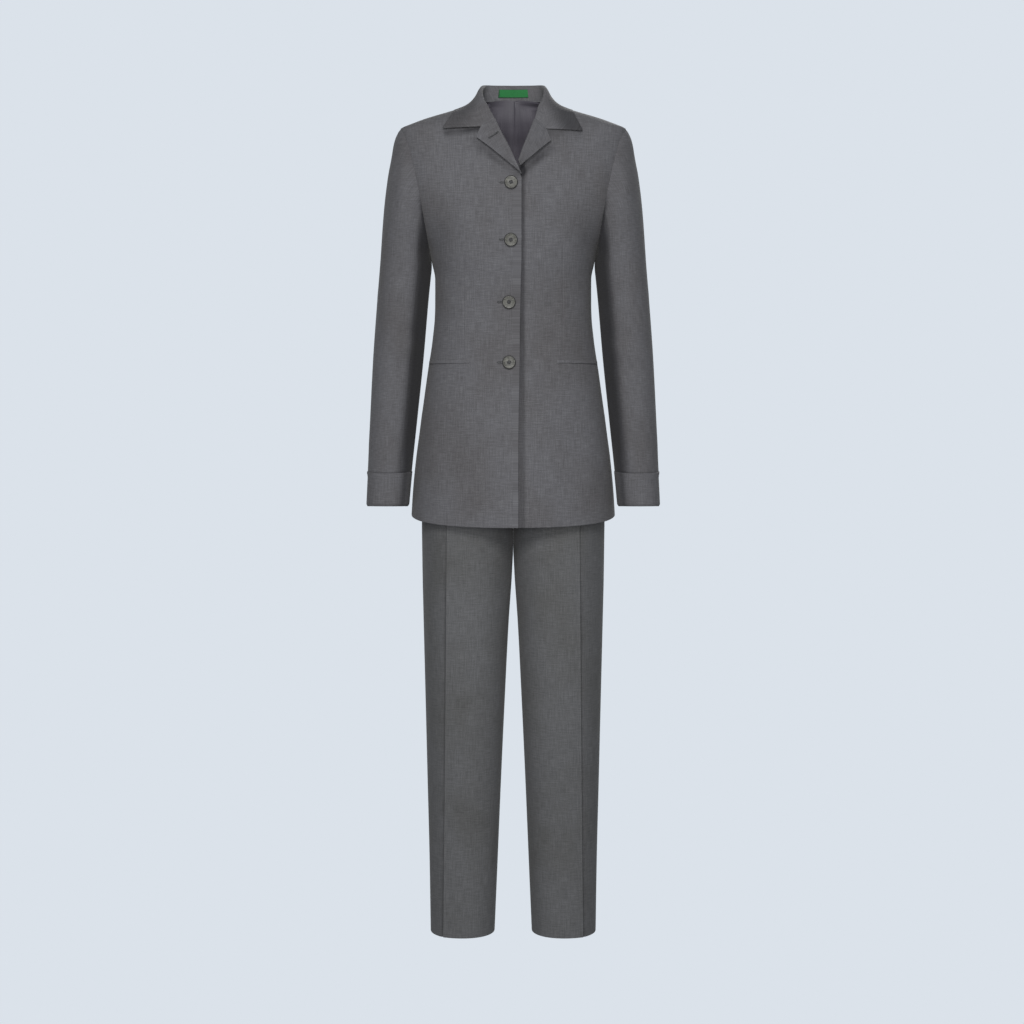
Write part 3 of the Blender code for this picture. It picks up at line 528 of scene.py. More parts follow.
def makeCloth(name, side, points, flat, outward, node, cut, restsOn, held="hung", area=None,
              slot="jacket_cloth", materials=(jacketCloth, jacketCloth), pressed=None, **build):
    if side == "right":  # everything is cut for the wearer's left and mirrored for the right
        points = points * np.array((-1, 1, 1))
        outward = -outward
    cutFrom = 173 * len(bpy.data.meshes)  # each piece is cut from its own part of the bolt
    piece = layGrid(name + side.capitalize(), points, flat + cutFrom, pressed)
    if outward < 0:
        piece.data.flip_normals()
    thicken(piece, materials, **build)
    belongs(piece, slot, node)
    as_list(restsOn)
    return piece


frontRows = table(
    "side centre",
    (-679, -690), (-560, -562), (-422, -422), (-330, -323), (-272, -224), (-238, -172), (-210, -150),
    (-179, np.nan), (-142, -104), (-112, -84), (-84, -62), (-60, -43), (-49, -28), (-42, -18), (-38, -9),
    (-36, -2), (-34.6, 6),
)
frontCreases = [  # from x, z to x, z; height and half width
    (128, -236, 92, -196, -1.6, 13), (136, -262, 96, -250, 1.3, 12), (128, -300, 70, -318, -1, 14),
    (126, -345, 84, -330, 1, 11), (148, -180, 118, -130, -0.6, 14), (156, -130, 128, -84, 0.6, 12),
    (40, -200, 30, -250, -0.7, 16), (36, -290, 26, -350, 0.6, 15), (110, -452, 70, -470, -0.8, 18),
    (140, -520, 120, -640, 1.3, 20), (96, -500, 88, -668, -1.3, 24), (52, -520, 48, -680, 0.9, 22),
    (110, -70, 80, -100, -0.6, 14), (24, -440, 22, -620, -0.5, 14), (122, -262, 112, -178, -1.6, 20),
]
underEdges = {  # the lapel's lower edge, then the collar's
    "left": ((15, -113, 63, -72, -4.8, 6.8), (52, -46.5, 108, -50.5, -2.4, 4.4)),
    "right": ((-6, -119, 62, -66, -4, 6.5), (51, -43, 110, -46.5, -2.4, 4.4)),
}


def sideAngle(z, face):
    free = (z <= jacket["underarm"]) | (z >= jacket["shoulderTip"])
    return np.where(free, 0, ringAngle(body, z, smooth(armhole, face, z)))


def frontEdgeX(z, side):
    hung = smooth(topEdge, "x", z) if side == "right" else -jacket["overlap"]
    edge = np.where(z > jacket["breaks"][side], smooth(rollLine, side, z), hung)
    return np.where(z > jacket["gorge"], smooth(neckline, "x", z), edge)


def frontEnds(side, count):  # heights of both ends of evenly spaced rows
    low = frontRows["side"]
    high = np.where(np.isnan(frontRows["centre"]), jacket["breaks"][side], frontRows["centre"])
    level = (low + high) / 2
    at = blended(level[0], level[-1], marks(level[-1] - level[0], count))
    return np.interp(at, level, low), np.interp(at, level, high)


def frontPlaces(sideZ, centreZ, side, share):
    start = sideAngle(sideZ, "front")
    edge = frontEdgeX(centreZ, side)
    columns = jacket["edgeColumns"]
    away = np.interp(share, np.linspace(jacket["edgeShare"], 1, len(columns)), columns)
    nearEdge = ringAngle(body, centreZ, edge + away)
    turn = ringAngle(body, centreZ, edge + columns[0])
    angle = np.where(share < jacket["edgeShare"], blended(start, turn, share / jacket["edgeShare"]), nearEdge)
    return blended(sideZ, centreZ, share), np.where(centreZ >= jacket["neckSide"], 0, angle)


def underlap(x):
    far, near = (distance - jacket["overlap"] for distance in jacket["edgeColumns"][:2])
    sunk = 1.2 * hump(x, 3, jacket["overlap"] + 1.5)  # beside the edge on top
    return jacket["underlap"] * rise(x, far, near - far) + sunk


def dartedColumns(sideZ, centreZ, side, count):  # shares across each row, with columns along the dart
    coarse = np.linspace(0, 1, 161)
    shares = []
    toDart = marks(60, int(count * 0.45))
    toEdge = marks(95, int(count * 0.62))
    for low, high in zip(sideZ, centreZ):
        x = ringPoint(body, *frontPlaces(low, high, side, coarse))[:, 0]
        dart = np.interp(-jacket["dartX"], -x, coarse)
        shares.append(np.concatenate((dart * toDart, dart + (1 - dart) * toEdge[1:])))
    return np.array(shares), len(toDart) - 1


def spreadTop(z, angle, rows):  # rows bunch up by the shoulder seam, so they are spread out again there
    kept = np.r_[0:len(z) - 6, len(z) - 1]
    z, angle = z[kept], angle[kept]
    run = arcs(ringPoint(body, z, angle), 0)[-rows:]
    spots = blended(run[:1], run[-1:], 1 - np.linspace(1, 0, rows)[:, None] ** 2)
    for column in range(z.shape[1]):
        for value in (z, angle):
            value[-rows:, column] = np.interp(spots[:, column], run[:, column], value[-rows:, column])
    return z, angle


def makeFront(side):
    rows, columns = jacket["frontGrid"]
    sideZ, centreZ = frontEnds(side, rows)
    share, dartColumn = dartedColumns(sideZ, centreZ, side, columns)
    z, angle = spreadTop(*frontPlaces(sideZ[:, None], centreZ[:, None], side, share), jacket["seamRows"])
    hem = smooth(jacket["hem"], "z", share[:len(z)])
    z = z + (hem - z[:1]) * (1 - rise(z, -690, 160))
    base = ringPoint(body, z, angle)
    x, across, up = base[..., 0], arcs(base, 1), arcs(base, 0)
    fromEdge, fromShoulder = toEdges(across), toEdges(up, 0)
    lift = creased(x, z, frontCreases)
    lift = lift * rise(fromEdge, 0, 30) * rise(across, 0, 22) * rise(fromShoulder, 0, 40)
    fromDart = np.abs(across - across[:, dartColumn:dartColumn + 1])
    dart = rise(z, jacket["dartTop"], -26) * rise(z, jacket["dartEnd"], 6)
    lift = lift + dart * (0.25 * hump(fromDart, 7) - 0.55 * hump(fromDart, 0.9))
    lift = lift + edgeDrop(across, "seam") + edgeDrop(fromEdge, "turned") + edgeDrop(up, "turned")
    lift = lift + edgeDrop(fromShoulder, "shoulder")
    underLapel, underCollar = (creased(x, z, [line]) for line in underEdges[side])
    lift = lift + underLapel + underCollar * rise(across, 2, 16)
    # painted shade: a little over the middle of the front, under the lapel's and the collar's lower edges, and
    # in a soft patch by the armhole
    pressed = 0.05 * (1 - rise(x, 90, 60)) - 0.17 * underLapel - 0.42 * underCollar
    pressed = pressed + 0.22 * hump(x, 22, 121) * hump(z, 42, -222)
    if side == "left":
        lift = lift - underlap(x)
        # painted shade beside the edge of the front that laps over it, and at the bottom of the V
        pressed = pressed + blended(0.38, 0.6, rise(z, -560, 200)) * (1 - rise(x, 15, 6.5))
        pressed = pressed + 0.45 * hump(x, 9, 17) * hump(z, 9, -113)
    else:
        lift = lift + 0.8 * hump(fromEdge, 7)
    flat = joined(girth(z, np.full_like(z, 90)) - girth(z, angle), z)
    points = sloped(raised(base, ringNormal(body, z, angle), lift))
    makeCloth("jacketFront", side, points, flat, -1, "front_" + side, (285, 720), ["front_" + side],
              area=0.160, facing=jacket["facing"], materials=(jacketCloth, lining, jacketCloth, jacketCloth),
              pressed=pressed)


makeBoth("jacket fronts", makeFront)


backRows = table(
    "side neck angle",
    (-679, -676, -90), (-560, -560, -90), (-440, -440, -90), (-337, -337, -90), (-272, -250, -90),
    (-238, -190, -90), (-210, -163, -90), (-179, -135, -90), (-142, -95, -90), (-112, -66, -90),
    (-86, -43, -90), (-68, -27, -90), (-55, -12, -90), (-47, 12, -90), (-41, 9.96, -59.4),
    (-37, 7.98, -29.7), (-34.6, 6, 0),
)
backCreases = [
    (120, -160, 40, -120, -1.2, 18), (140, -232, 100, -190, -1.6, 13), (132, -265, 84, -256, 1.2, 12),
    (128, -310, 60, -322, -1.2, 15), (126, -350, 74, -340, 1.1, 12), (110, -384, 40, -372, -0.9, 16),
    (140, -520, 118, -640, 1.4, 20), (90, -480, 84, -660, -1.2, 24), (40, -500, 36, -668, 0.9, 20),
    (20, -60, 90, -76, 0.9, 14), (110, -80, 150, -110, -0.8, 13),
]
backSpans = np.cumsum((0, 119, 120, 103, 76, 47, 27, 29, 38, 30, 24, 17, 14, 17, 17, 16, 15))


def backPlaces(at, share):
    low, high, turn = (np.interp(at, backSpans, backRows[name]) for name in ("side", "neck", "angle"))
    return blended(low, high, share), blended(-sideAngle(low, "back"), turn, share)


def makeBack(side):
    rows, columns = jacket["backGrid"]
    at = backSpans[-1] * marks(backSpans[-1], rows)
    z, angle = backPlaces(at[:, None], marks(185, columns)[None, :])
    base = ringPoint(body, z, angle)
    across, up = arcs(base, 1), arcs(base, 0)
    fromCentre, fromShoulder = toEdges(across), toEdges(up, 0)
    lift = 1.4 * creased(base[..., 0], z, backCreases)
    lift = lift * rise(fromCentre, 0, 26) * rise(across, 0, 22) * rise(fromShoulder, 0, 40)
    lift = lift + edgeDrop(across, "seam") + edgeDrop(fromCentre, "centreSeam")
    lift = lift + edgeDrop(up, "turned") + edgeDrop(fromShoulder, "shoulder")
    points = sloped(raised(base, ringNormal(body, z, angle), lift))
    makeCloth("jacketBack", side, points, joined(girth(z, angle), z), 1, "back_" + side, (270, 715),
              ["back_" + side], area=0.152, materials=(jacketCloth, lining))


def makeBackLining(side):  # with a soft ease pleat at the centre back
    start = np.interp(-200, backRows["neck"][:14], backSpans[:14])
    rows, columns = jacket["liningGrid"]
    at = blended(start, backSpans[-1], marks(backSpans[-1] - start, rows))
    z, angle = backPlaces(at[:, None], blended(0.5, 1, marks(90, columns))[None, :])
    base = ringPoint(body, z, angle)
    fromCentre = toEdges(arcs(base, 1))
    inward = jacket["liningInside"] + 0.5 * hump(fromCentre, 9, 34)
    if side == "left":  # the ease pleat's fold lies on this side
        inward = inward + jacket["pleat"] * rise(fromCentre, 2, 0.7) * rise(fromCentre, 19, -16)
    points = raised(base, ringNormal(body, z, angle), -inward)
    points[..., 2] += jacket["liningTop"] * rise(z, -25, 37)
    # painted shade, strongest at the top and towards the centre back, where the lining is lit most
    pressed = 0.12 + 0.55 * rise(z, -75, 75) * (1 - 0.4 * rise(fromCentre, 0, 45))
    makeCloth("backLining", side, points, joined(fromCentre, z), -1, "lining_back_" + side, (125, 238),
              ["back_" + side], area=0.0285, slot="lining", wall=jacket["liningWall"],
              materials=(lining, lining), pressed=pressed)


makeBoth("jacket back and its lining", makeBack, makeBackLining)


lapel = {
    # each side's last value is painted shade laid over its whole lapel, none on the right one
    "left": {"fold": -97, "start": (11, -107.5), "corner": (60.5, -66.7), "notch": (52.4, -43.6),
             "length": 76, "area": 0.0038, "pressed": 0.13},
    "right": {"fold": -118, "start": (-10, -115.5), "corner": (58.9, -61.1), "notch": (50.8, -39.8),
              "length": 96, "area": 0.0046, "pressed": 0},
    "foldLift": 1.6, "edgeLift": 10, "notchAcross": 0.6, "inset": 0.6, "strip": 7, "behind": 2.6,
    "rows": 44, "columns": 30,
}


def lapelPlaces(side, along, across):  # places on the front as seen from it, from the fold to the edge
    shape = lapel[side]
    foldZ = blended(shape["fold"], jacket["gorge"], along)
    fold = np.stack((smooth(rollLine, side, foldZ) - lapel["inset"], foldZ), axis=-1)
    start, corner = np.array(shape["start"]), np.array(shape["corner"])
    edge = start + (corner - start) * (along ** 0.9)[..., None]
    gorge = np.array((float(smooth(rollLine, side, jacket["gorge"])), jacket["gorge"]))
    notch = np.array(shape["notch"]) - blended(gorge, corner, lapel["notchAcross"])
    tent = np.minimum(across / lapel["notchAcross"], (1 - across) / (1 - lapel["notchAcross"]))
    place = fold + (edge - fold) * across[..., None] + notch * (np.maximum(tent, 0) * along ** 5)[..., None]
    return fold, place


def makeLapel(side):
    along, across = np.broadcast_arrays(1.02 * marks(90, lapel["rows"])[:, None],
                                        marks(50, lapel["columns"])[None, :])
    fold, place = lapelPlaces(side, along, across)
    foldX, foldZ = fold[:, 0, 0], fold[:, 0, 1]
    lift = lapel["foldLift"] + (lapel["edgeLift"] - lapel["foldLift"]) * across ** 1.5 * (1 - 0.45 * along)
    away = np.minimum((1 - across) * 45, (1.02 - along) * 80 + 4 * (1 - rise(across, 0.5, 0.15)))
    top = onFront(place[..., 0], place[..., 1], lift + 0.5 + edgeDrop(away, "lapel"))
    radius = (lapel["foldLift"] + lapel["behind"]) / 2  # the roll from behind the front's edge over the fold
    middle = (lapel["foldLift"] + 0.5 - lapel["behind"]) / 2
    places = [(out, -radius) for out in np.linspace(lapel["strip"], 1, 4)]
    for turn in np.radians(np.linspace(-90, 90, 11))[:-1]:
        places.append((-radius * 0.8 * math.cos(turn), radius * math.sin(turn)))
    under = [onFront(foldX + out, foldZ, np.full(len(fold), middle + height)) for out, height in places]
    points = np.concatenate((np.stack(under, axis=1), top), axis=1)
    flat = joined(arcs(points, 1), points[:, :1, 2])
    shape = lapel[side]
    makeCloth("lapel", side, points, flat, 1, "lapel_" + side, (72, shape["length"]), ["front_" + side],
              held="folded", area=shape["area"], pressed=shape["pressed"])


collarRows = table(
    "place neckZ neckAngle foldX foldY foldZ edgeZ edgeAngle",
    (0, 12, -90, 0, 47, 38.5, -14, -90), (1, 11.8, -62, 25, 46.2, 38.5, -14, -66),
    (2, 11, -38, 44.5, 39.5, 38.3, -12.5, -42), (3, 9, -18, 51, 24, 36, -9, -18),
    (4, 6, 0, 50.5, 2, 29, -7, 5), (5, 0, 46, 45.8, -31, 11.5, -8, 26),
    (6, -11, 68, 41.8, -46, -1.5, -15, 42),
)
collar = {
    "left": table("x z", (36, -27.4), (44, -35.5), (52.4, -43.2), (72, -44.7), (92, -46.1), (112.5, -47.4)),
    "right": table("x z", (30.8, -27.4), (40.8, -33.5), (50.8, -39.4), (72, -41), (93, -42.3),
                   (114.7, -43.5)),
    "foldRadius": 2, "seamGap": -0.3, "wall": 1.5, "halfWall": 1.1,
    "shares": np.array((0, 0.14, 0.32, 0.54, 0.77, 1)), "springPower": 4.2,
    "widen": table("place x", (0, 0), (2, -0.8), (3, -1.6), (3.7, 0.4), (4.3, 2.8), (5, 4),
                   (5.5, 3.2), (6, 1.4)),
    "edgeLifts": table("place lift", (0, 1.4), (3, 0.3), (3.8, -0.3), (4.6, -0.3), (5.4, 0.6),
                       (6.3, 3.2), (7, 4.8)),
    "foldLift": 1.8, "along": 190, "across": 56,
}


def collarLifts(place):
    return blended(collar["foldLift"], smooth(collar["edgeLifts"], "lift", place), collar["shares"])


def collarSection(place):  # neck seam, stand and fold, then the fall's feet on the body and its spring
    row = {name: float(smooth(collarRows, name, place)) for name in collarRows}
    neckAngle = row["neckAngle"]
    if row["neckZ"] < jacket["neckSide"]:
        neckAngle = float(ringAngle(body, row["neckZ"], smooth(neckline, "x", row["neckZ"])))
    fold = np.array((row["foldX"] + smooth(collar["widen"], "x", place), row["foldY"], row["foldZ"]))
    seam = onBody(row["neckZ"], neckAngle, -collar["halfWall"])
    seam = seam + unit(fold - seam) * collar["seamGap"]
    outwards = (onBody(row["edgeZ"], row["edgeAngle"]) - fold) * np.array((1, 1, 0))
    outwards = unit(outwards) * collar["foldRadius"]
    down = np.array((0, 0, -0.7 * collar["foldRadius"]))
    standTop = fold - outwards * 0.5
    stand = [seam, (seam + standTop) / 2, standTop + down, fold + outwards * 0.5]
    spring = fold + outwards * 2.2 + down - onBody(row["neckZ"], neckAngle, collar["foldLift"])
    shares = collar["shares"][:, None]
    ends = np.array(((row["neckZ"], neckAngle), (row["edgeZ"], row["edgeAngle"])))
    springs = spring * (1 - shares) ** collar["springPower"]
    return np.array(stand), blended(ends[:1], ends[1:], shares), springs


def collarEnd(side):
    shape = collar[side]
    foldX = shape["x"][0]
    seamZ = jacket["gorge"] + 5
    seamX = min(foldX + 4.5, float(smooth(neckline, "x", seamZ)) - 1.5)
    stand = [onFront(blended(seamX, foldX - 0.2, s), blended(seamZ, jacket["gorge"] + 0.8, s), lift)
             for s, lift in ((0, -0.4), (0.35, 0.5), (0.75, 1.2), (1, 2.2))]
    feet = np.stack((shape["z"], ringAngle(body, shape["z"], shape["x"])), axis=-1)
    feet[0, 1] = ringAngle(body, feet[0, 0], foldX + 1.8)
    return np.array(stand), feet, np.zeros((len(feet), 3))


def collarLine(section, place, other=None, share=0):
    stand, feet, springs = section
    if other:
        x = blended(onBody(*feet.T)[:, 0], onBody(*other[1].T)[:, 0], share)
        z = blended(feet[:, 0], other[1][:, 0], share)
        feet = joined(z, ringAngle(body, z, x))
        stand, springs = blended(stand, other[0], share), blended(springs, other[2], share)
    return np.concatenate((stand, onBody(*feet.T, collarLifts(place + share)) + springs))


def makeCollar():
    halves = {}
    for side in ("right", "left"):
        lines = [collarLine(collarSection(step / 2), step / 2) for step in range(13)]
        last, end = collarSection(6), collarEnd(side)
        halves[side] = lines + [collarLine(last, 6, end, share) for share in (0.34, 0.67, 1)]
    mirrored = np.array(halves["right"][1:])[::-1] * np.array((-1, 1, 1))
    rows = np.concatenate((mirrored, np.array(halves["left"])))
    alongPlaces = arcs(rows[:, 5:8].mean(axis=1)[:, None], 0)[:, 0]
    rows = throughPoints(rows, alongPlaces, alongPlaces[-1] * marks(alongPlaces[-1], collar["along"]))
    steps = np.sqrt(np.linalg.norm(np.diff(rows, axis=1), axis=-1)).mean(axis=0)
    acrossPlaces = np.concatenate(([0], steps.cumsum()))
    places = acrossPlaces[-1] * marks(70, collar["across"])
    rows = throughPoints(rows.swapaxes(0, 1), acrossPlaces, places).swapaxes(0, 1)
    along, across = arcs(rows, 0), arcs(rows, 1)
    toEdge = toEdges(across)
    away = np.minimum(toEdge, np.minimum(along, toEdges(along, 0)))
    points = raised(rows, gridNormals(rows, -1), edgeDrop(away, "collar"))
    # painted shade over the collar's outer fall, more towards the left end
    pressed = blended(0.38, 0.72, along / along[-1:]) * (1 - rise(toEdge, 18, 34))
    makeCloth("jacketCollar", "", points, joined(along, across), -1, "collar", (455, 110),
              ["back_left", "back_right"], held="folded", area=0.0325, wall=collar["wall"], offset=0,
              pressed=pressed)


makeBoth("lapels", makeLapel)
makeCollar()
print("collar made")


sleeve = table(
    "z outer inner depth middle power",
    (-668, 246.8, 176, 43.5, -46, 2.2), (-607.5, 244, 170.3, 46.5, -36, 2.2),
    (-520, 240.4, 161.2, 51, -22, 2.2), (-420, 235.5, 150.9, 56, -10, 2.2),
    (-320, 228.2, 142.2, 60, -2, 2.2), (-275, 224.4, 137.6, 61.5, 0, 2.2),
)
cap = table(
    "round x y z pull",
    (0, 0.34, 0, -0.94, 1), (0.125, 0.52, -0.26, -0.81, 1), (0.25, 0.72, -0.34, -0.6, 0.95),
    (0.375, 0.3, -0.2, -0.93, 0.7), (0.5, -0.06, 0, -1, 0.8), (0.625, 0.3, 0.2, -0.93, 0.7),
    (0.75, 0.72, 0.3, -0.62, 0.95), (0.875, 0.52, 0.24, -0.82, 1), (1, 0.34, 0, -0.94, 1),
)
sleeves = {
    "top": -275, "cuffTop": -607.5, "cuffEnd": -667.5, "proud": 0.35, "capRows": 46, "lowRows": 78,
    "round": 132, "seams": (1 / 3, 2 / 3), "flatTo": 0.48, "flatness": 0.8,
    "topCut": {"wide": 290, "cut": (355, 600), "area": 0.112},
    "underCut": {"wide": 135, "cut": (180, 450), "area": 0.044},
    "inside": table("z lift", (-667.9, -1.2), (-668, -1.6), (-667.8, -2), (-666.5, -2.2), (-660, -2),
                    (-648, -1.8)),
    "cuffWall": 0.8, "cuffRoll": 1.4, "cuffSlant": 4.2, "cuffRise": 3.4, "cuffDrawnIn": 1.6,
    "headFullness": 3.3,
}
sleeveCreases = [  # share round the sleeve x 300, z
    (20, -110, 90, -150, 1, 15), (60, -205, 110, -250, -1.4, 15), (250, -200, 200, -240, -1.5, 15),
    (100, -372, 40, -392, -1.3, 13), (104, -398, 30, -416, 1.3, 12), (98, -428, 50, -448, -1.1, 13),
    (206, -376, 262, -398, 1, 14), (200, -420, 268, -436, -1, 13), (60, -500, 20, -560, 0.8, 18),
    (90, -540, 50, -590, -0.7, 15), (230, -520, 260, -585, 0.8, 16), (300, -300, 276, -350, 0.6, 18),
]


def armholeLoop(count):
    loop = []
    step = np.linspace(0, math.pi, 401)
    z = blended(jacket["shoulderTip"], jacket["underarm"], 0.5 - 0.5 * np.cos(step))
    for face, sign in (("front", 1), ("back", -1)):
        half = ringPoint(body, z, sign * sideAngle(z, face))
        run = arcs(half[:, None], 0)[:, 0]
        at = np.linspace(0, run[-1], count // 2 + 1)
        loop.append(np.stack([np.interp(at, run, half[:, k]) for k in range(3)], axis=-1))
    return np.concatenate((loop[0][:-1], loop[1][:0:-1]))


def sleevePoint(z, share):
    return ringPoint(sleeve, z, 360 * share)


def sleeveTube():
    count = sleeves["round"]
    share = np.arange(count) / count
    start = armholeLoop(count) + np.array((-0.6, 0, 0))
    end = sleevePoint(sleeves["top"], share)
    reach = np.linalg.norm(end - start, axis=-1, keepdims=True)
    leave = unit(np.stack([smooth(cap, axis, share) for axis in "xyz"], axis=-1))
    leave = leave * reach * smooth(cap, "pull", share)[:, None]
    arrive = unit(sleevePoint(sleeves["top"] - 20, share) - end) * reach
    capPart = softRun(start, end, leave, arrive, marks(200, sleeves["capRows"])[:, None, None])
    levels = blended(sleeves["top"], sleeves["cuffTop"] + 0.3, marks(332, sleeves["lowRows"]))[1:]
    tube = sloped(np.concatenate((capPart, sleevePoint(levels[:, None], share[None, :]))))
    fuller = sleeves["headFullness"] * hump(tube[..., 2], 23, -55) * rise(arcs(tube, 0), -1.5, 8)
    tube[..., 0] += fuller * np.maximum(np.cos(2 * math.pi * share), 0) ** 2
    first, last = int(round(count * sleeves["seams"][0])), int(round(count * sleeves["flatTo"]))
    along = np.linspace(0, 1, last - first + 1)[:, None]
    chord = blended(tube[:, first:first + 1], tube[:, last:last + 1], along)
    flatter = sleeves["flatness"] * rise(arcs(tube[:, :1], 0), 0, 160)[..., None]
    flatter = flatter * rise(tube[:, :1, 2:], sleeves["cuffTop"] + 1, 60)
    tube[:, first:last + 1] = blended(tube[:, first:last + 1], chord, flatter)
    return tube


def makeSleeve(part, side):
    tube = sleeveTube()
    count = sleeves["round"]
    first, second = (int(round(s * count)) for s in sleeves["seams"])
    isTop = part == "top"
    columns = np.arange(second, count + first + 1) % count if isTop else np.arange(first, second + 1)
    normals = gridNormals(np.concatenate((tube[:, -2:], tube, tube[:, :2]), axis=1))[:, 2:-2]
    normals = turnedOut(normals, tube, tube.mean(axis=1, keepdims=True))
    base = tube[:, columns]
    z, across, down = base[..., 2], arcs(base, 1), arcs(base, 0)
    toCuff = toEdges(down, 0)
    lift = 1.4 * creased((columns / count * 300)[None, :], z, sleeveCreases)
    lift = lift * rise(down, 0, 40) * rise(toCuff, 0, 30)
    lift = lift + edgeDrop(np.minimum(across, toEdges(across)), "sleeveSeam") * rise(toCuff, 0, 12)
    lift = lift + edgeDrop(down, "sleeveTop")
    if not isTop:  # full where it meets the side of the jacket
        lift = lift + 1.3 * hump(z, 13, -254)
    columnShare = np.arange(len(columns)) / (len(columns) - 1)
    toFront = toEdges(across) if isTop else across  # both meet at the front seam
    # painted shade: a little all over, a dark line down the armhole seam low on the sleeve, along the front
    # seam, over the under sleeve and along the cuff's top edge
    pressed = 0.12 + 0.7 * hump(down, 6) * rise(z, -135, -45)
    if isTop:
        pressed = pressed + 0.4 * hump(toFront, 7)
    else:
        pressed = pressed + 0.52 + 0.26 * rise(toFront, 0, 14) - 0.5 * rise(toFront, 60, 50)
    pressed = np.clip(pressed + 0.55 * hump(z, 2.2, sleeves["cuffTop"]), 0, 0.95)
    points = raised(base, normals[:, columns], lift)
    node = "%s_sleeve_%s" % (part, side)
    cut = sleeves[part + "Cut"]
    makeCloth(part + "Sleeve", side, points, joined(columnShare * cut["wide"], z), 1, node, cut["cut"], [node],
              area=cut["area"], materials=(jacketCloth, lining), pressed=pressed)


def makeCuff(side):  # turned back round the sleeve's end: down its outside, round and up inside
    share = np.arange(101) / 100
    turn = 2 * math.pi * share
    outer = blended(sleeves["cuffTop"], sleeves["cuffEnd"], marks(60, 20))
    rolled = sleeves["cuffRoll"] * rise(outer, sleeves["cuffEnd"] + 4, -4) ** 2
    outerLifts = sleeves["proud"] + edgeDrop(sleeves["cuffTop"] - outer, "cuff") - rolled
    lifts = np.concatenate((outerLifts, sleeves["inside"]["lift"]))[:, None]
    z = np.concatenate((outer, sleeves["inside"]["z"]))[:, None]
    # level as seen from the front and a little above
    slant = sleeves["cuffSlant"] * np.sin(turn) + sleeves["cuffRise"]
    z = z + slant * np.clip((sleeves["cuffTop"] - z) / 60, 0, 1)
    base = sleevePoint(z, share[None, :])
    drawnIn = sleeves["cuffDrawnIn"] * rise(z, sleeves["cuffTop"], -10)
    base[..., 0] -= drawnIn * np.maximum(np.cos(turn), 0) ** 2
    wide = sleevePoint(np.pad(z, ((0, 0), (1, 1)), mode="edge"), np.arange(-1, 102)[None, :] / 100)
    normals = unit(np.cross(np.gradient(wide, axis=1)[:, 1:-1], np.array((0, 0, 1))))
    normals = turnedOut(normals, base, base.mean(axis=1, keepdims=True))
    waves = 0.2 * np.sin(2 * math.pi * (share * 3 + 0.13))
    points = raised(base, normals, lifts + waves * rise(z, -667.5, 40))
    # painted shade: a little all over, and a band down the cuff's inner side
    pressed = 0.12 + 0.5 * hump(share, 0.03, 0.375) + 0.3 * hump(share, 0.06, 0.46)
    makeCloth("cuff", side, points, joined(arcs(points, 1), -arcs(points, 0)), -1, "cuff_" + side, (270, 86),
              ["top_sleeve_" + side], held="folded", wall=sleeves["cuffWall"], closed=True, pressed=pressed)


makeBoth("sleeves and cuffs", partial(makeSleeve, "top"), partial(makeSleeve, "under"), makeCuff)


welt = {"height": 5.3, "level": -421.5, "drop": 4, "innerX": 71, "lift": 0.75, "wall": 1.1}


def makeWelt(side):
    across = marks(98, 60)[None, :]
    up = marks(welt["height"], 7, (0, 0.25, 0.55, 1))[:, None]
    start = float(ringAngle(body, welt["level"], welt["innerX"]))
    z = welt["level"] - welt["drop"] * across + (up - 0.5) * welt["height"]
    away = np.minimum(np.minimum(up, 1 - up) * welt["height"], np.minimum(across, 1 - across) * 95)
    lift = welt["lift"] + welt["wall"] + edgeDrop(away, "welt") + 0.25 * hump(across, 0.3, 0.45)
    lift = lift - 2.4 * rise(across, 0.82, 0.18)
    points = onBody(z, blended(start, 2.5, across), lift)
    makeCloth("pocketWelt", side, points, joined(arcs(points, 1), z), 1, "welt_" + side, (133, 14),
              ["front_" + side], held="laid", area=0.0009, wall=welt["wall"])


makeBoth("welts", makeWelt)


button = {
    "holeRadius": 1.05, "holeAway": 2.1, "shank": 0.8, "dish": 7, "centre": 3.5, "rim": 9.5,
    "strand": 0.33, "wrap": 0.3,
    "profile": ((0, 0), (7.6, 0), (9.6, 0.35), (10.7, 1.2), (11, 2.1), (10.75, 2.9), (10.1, 3.4),
                (9.3, 3.5), (8.6, 3.3), (8, 2.8), (7.3, 2.55), (5.4, 2.4), (3.5, 2.35), (0, 2.3)),
    "places": ((-3.4, -132.3), (-3.8, -224.2), (-6.9, -324.8), (-6.7, -423)),
}


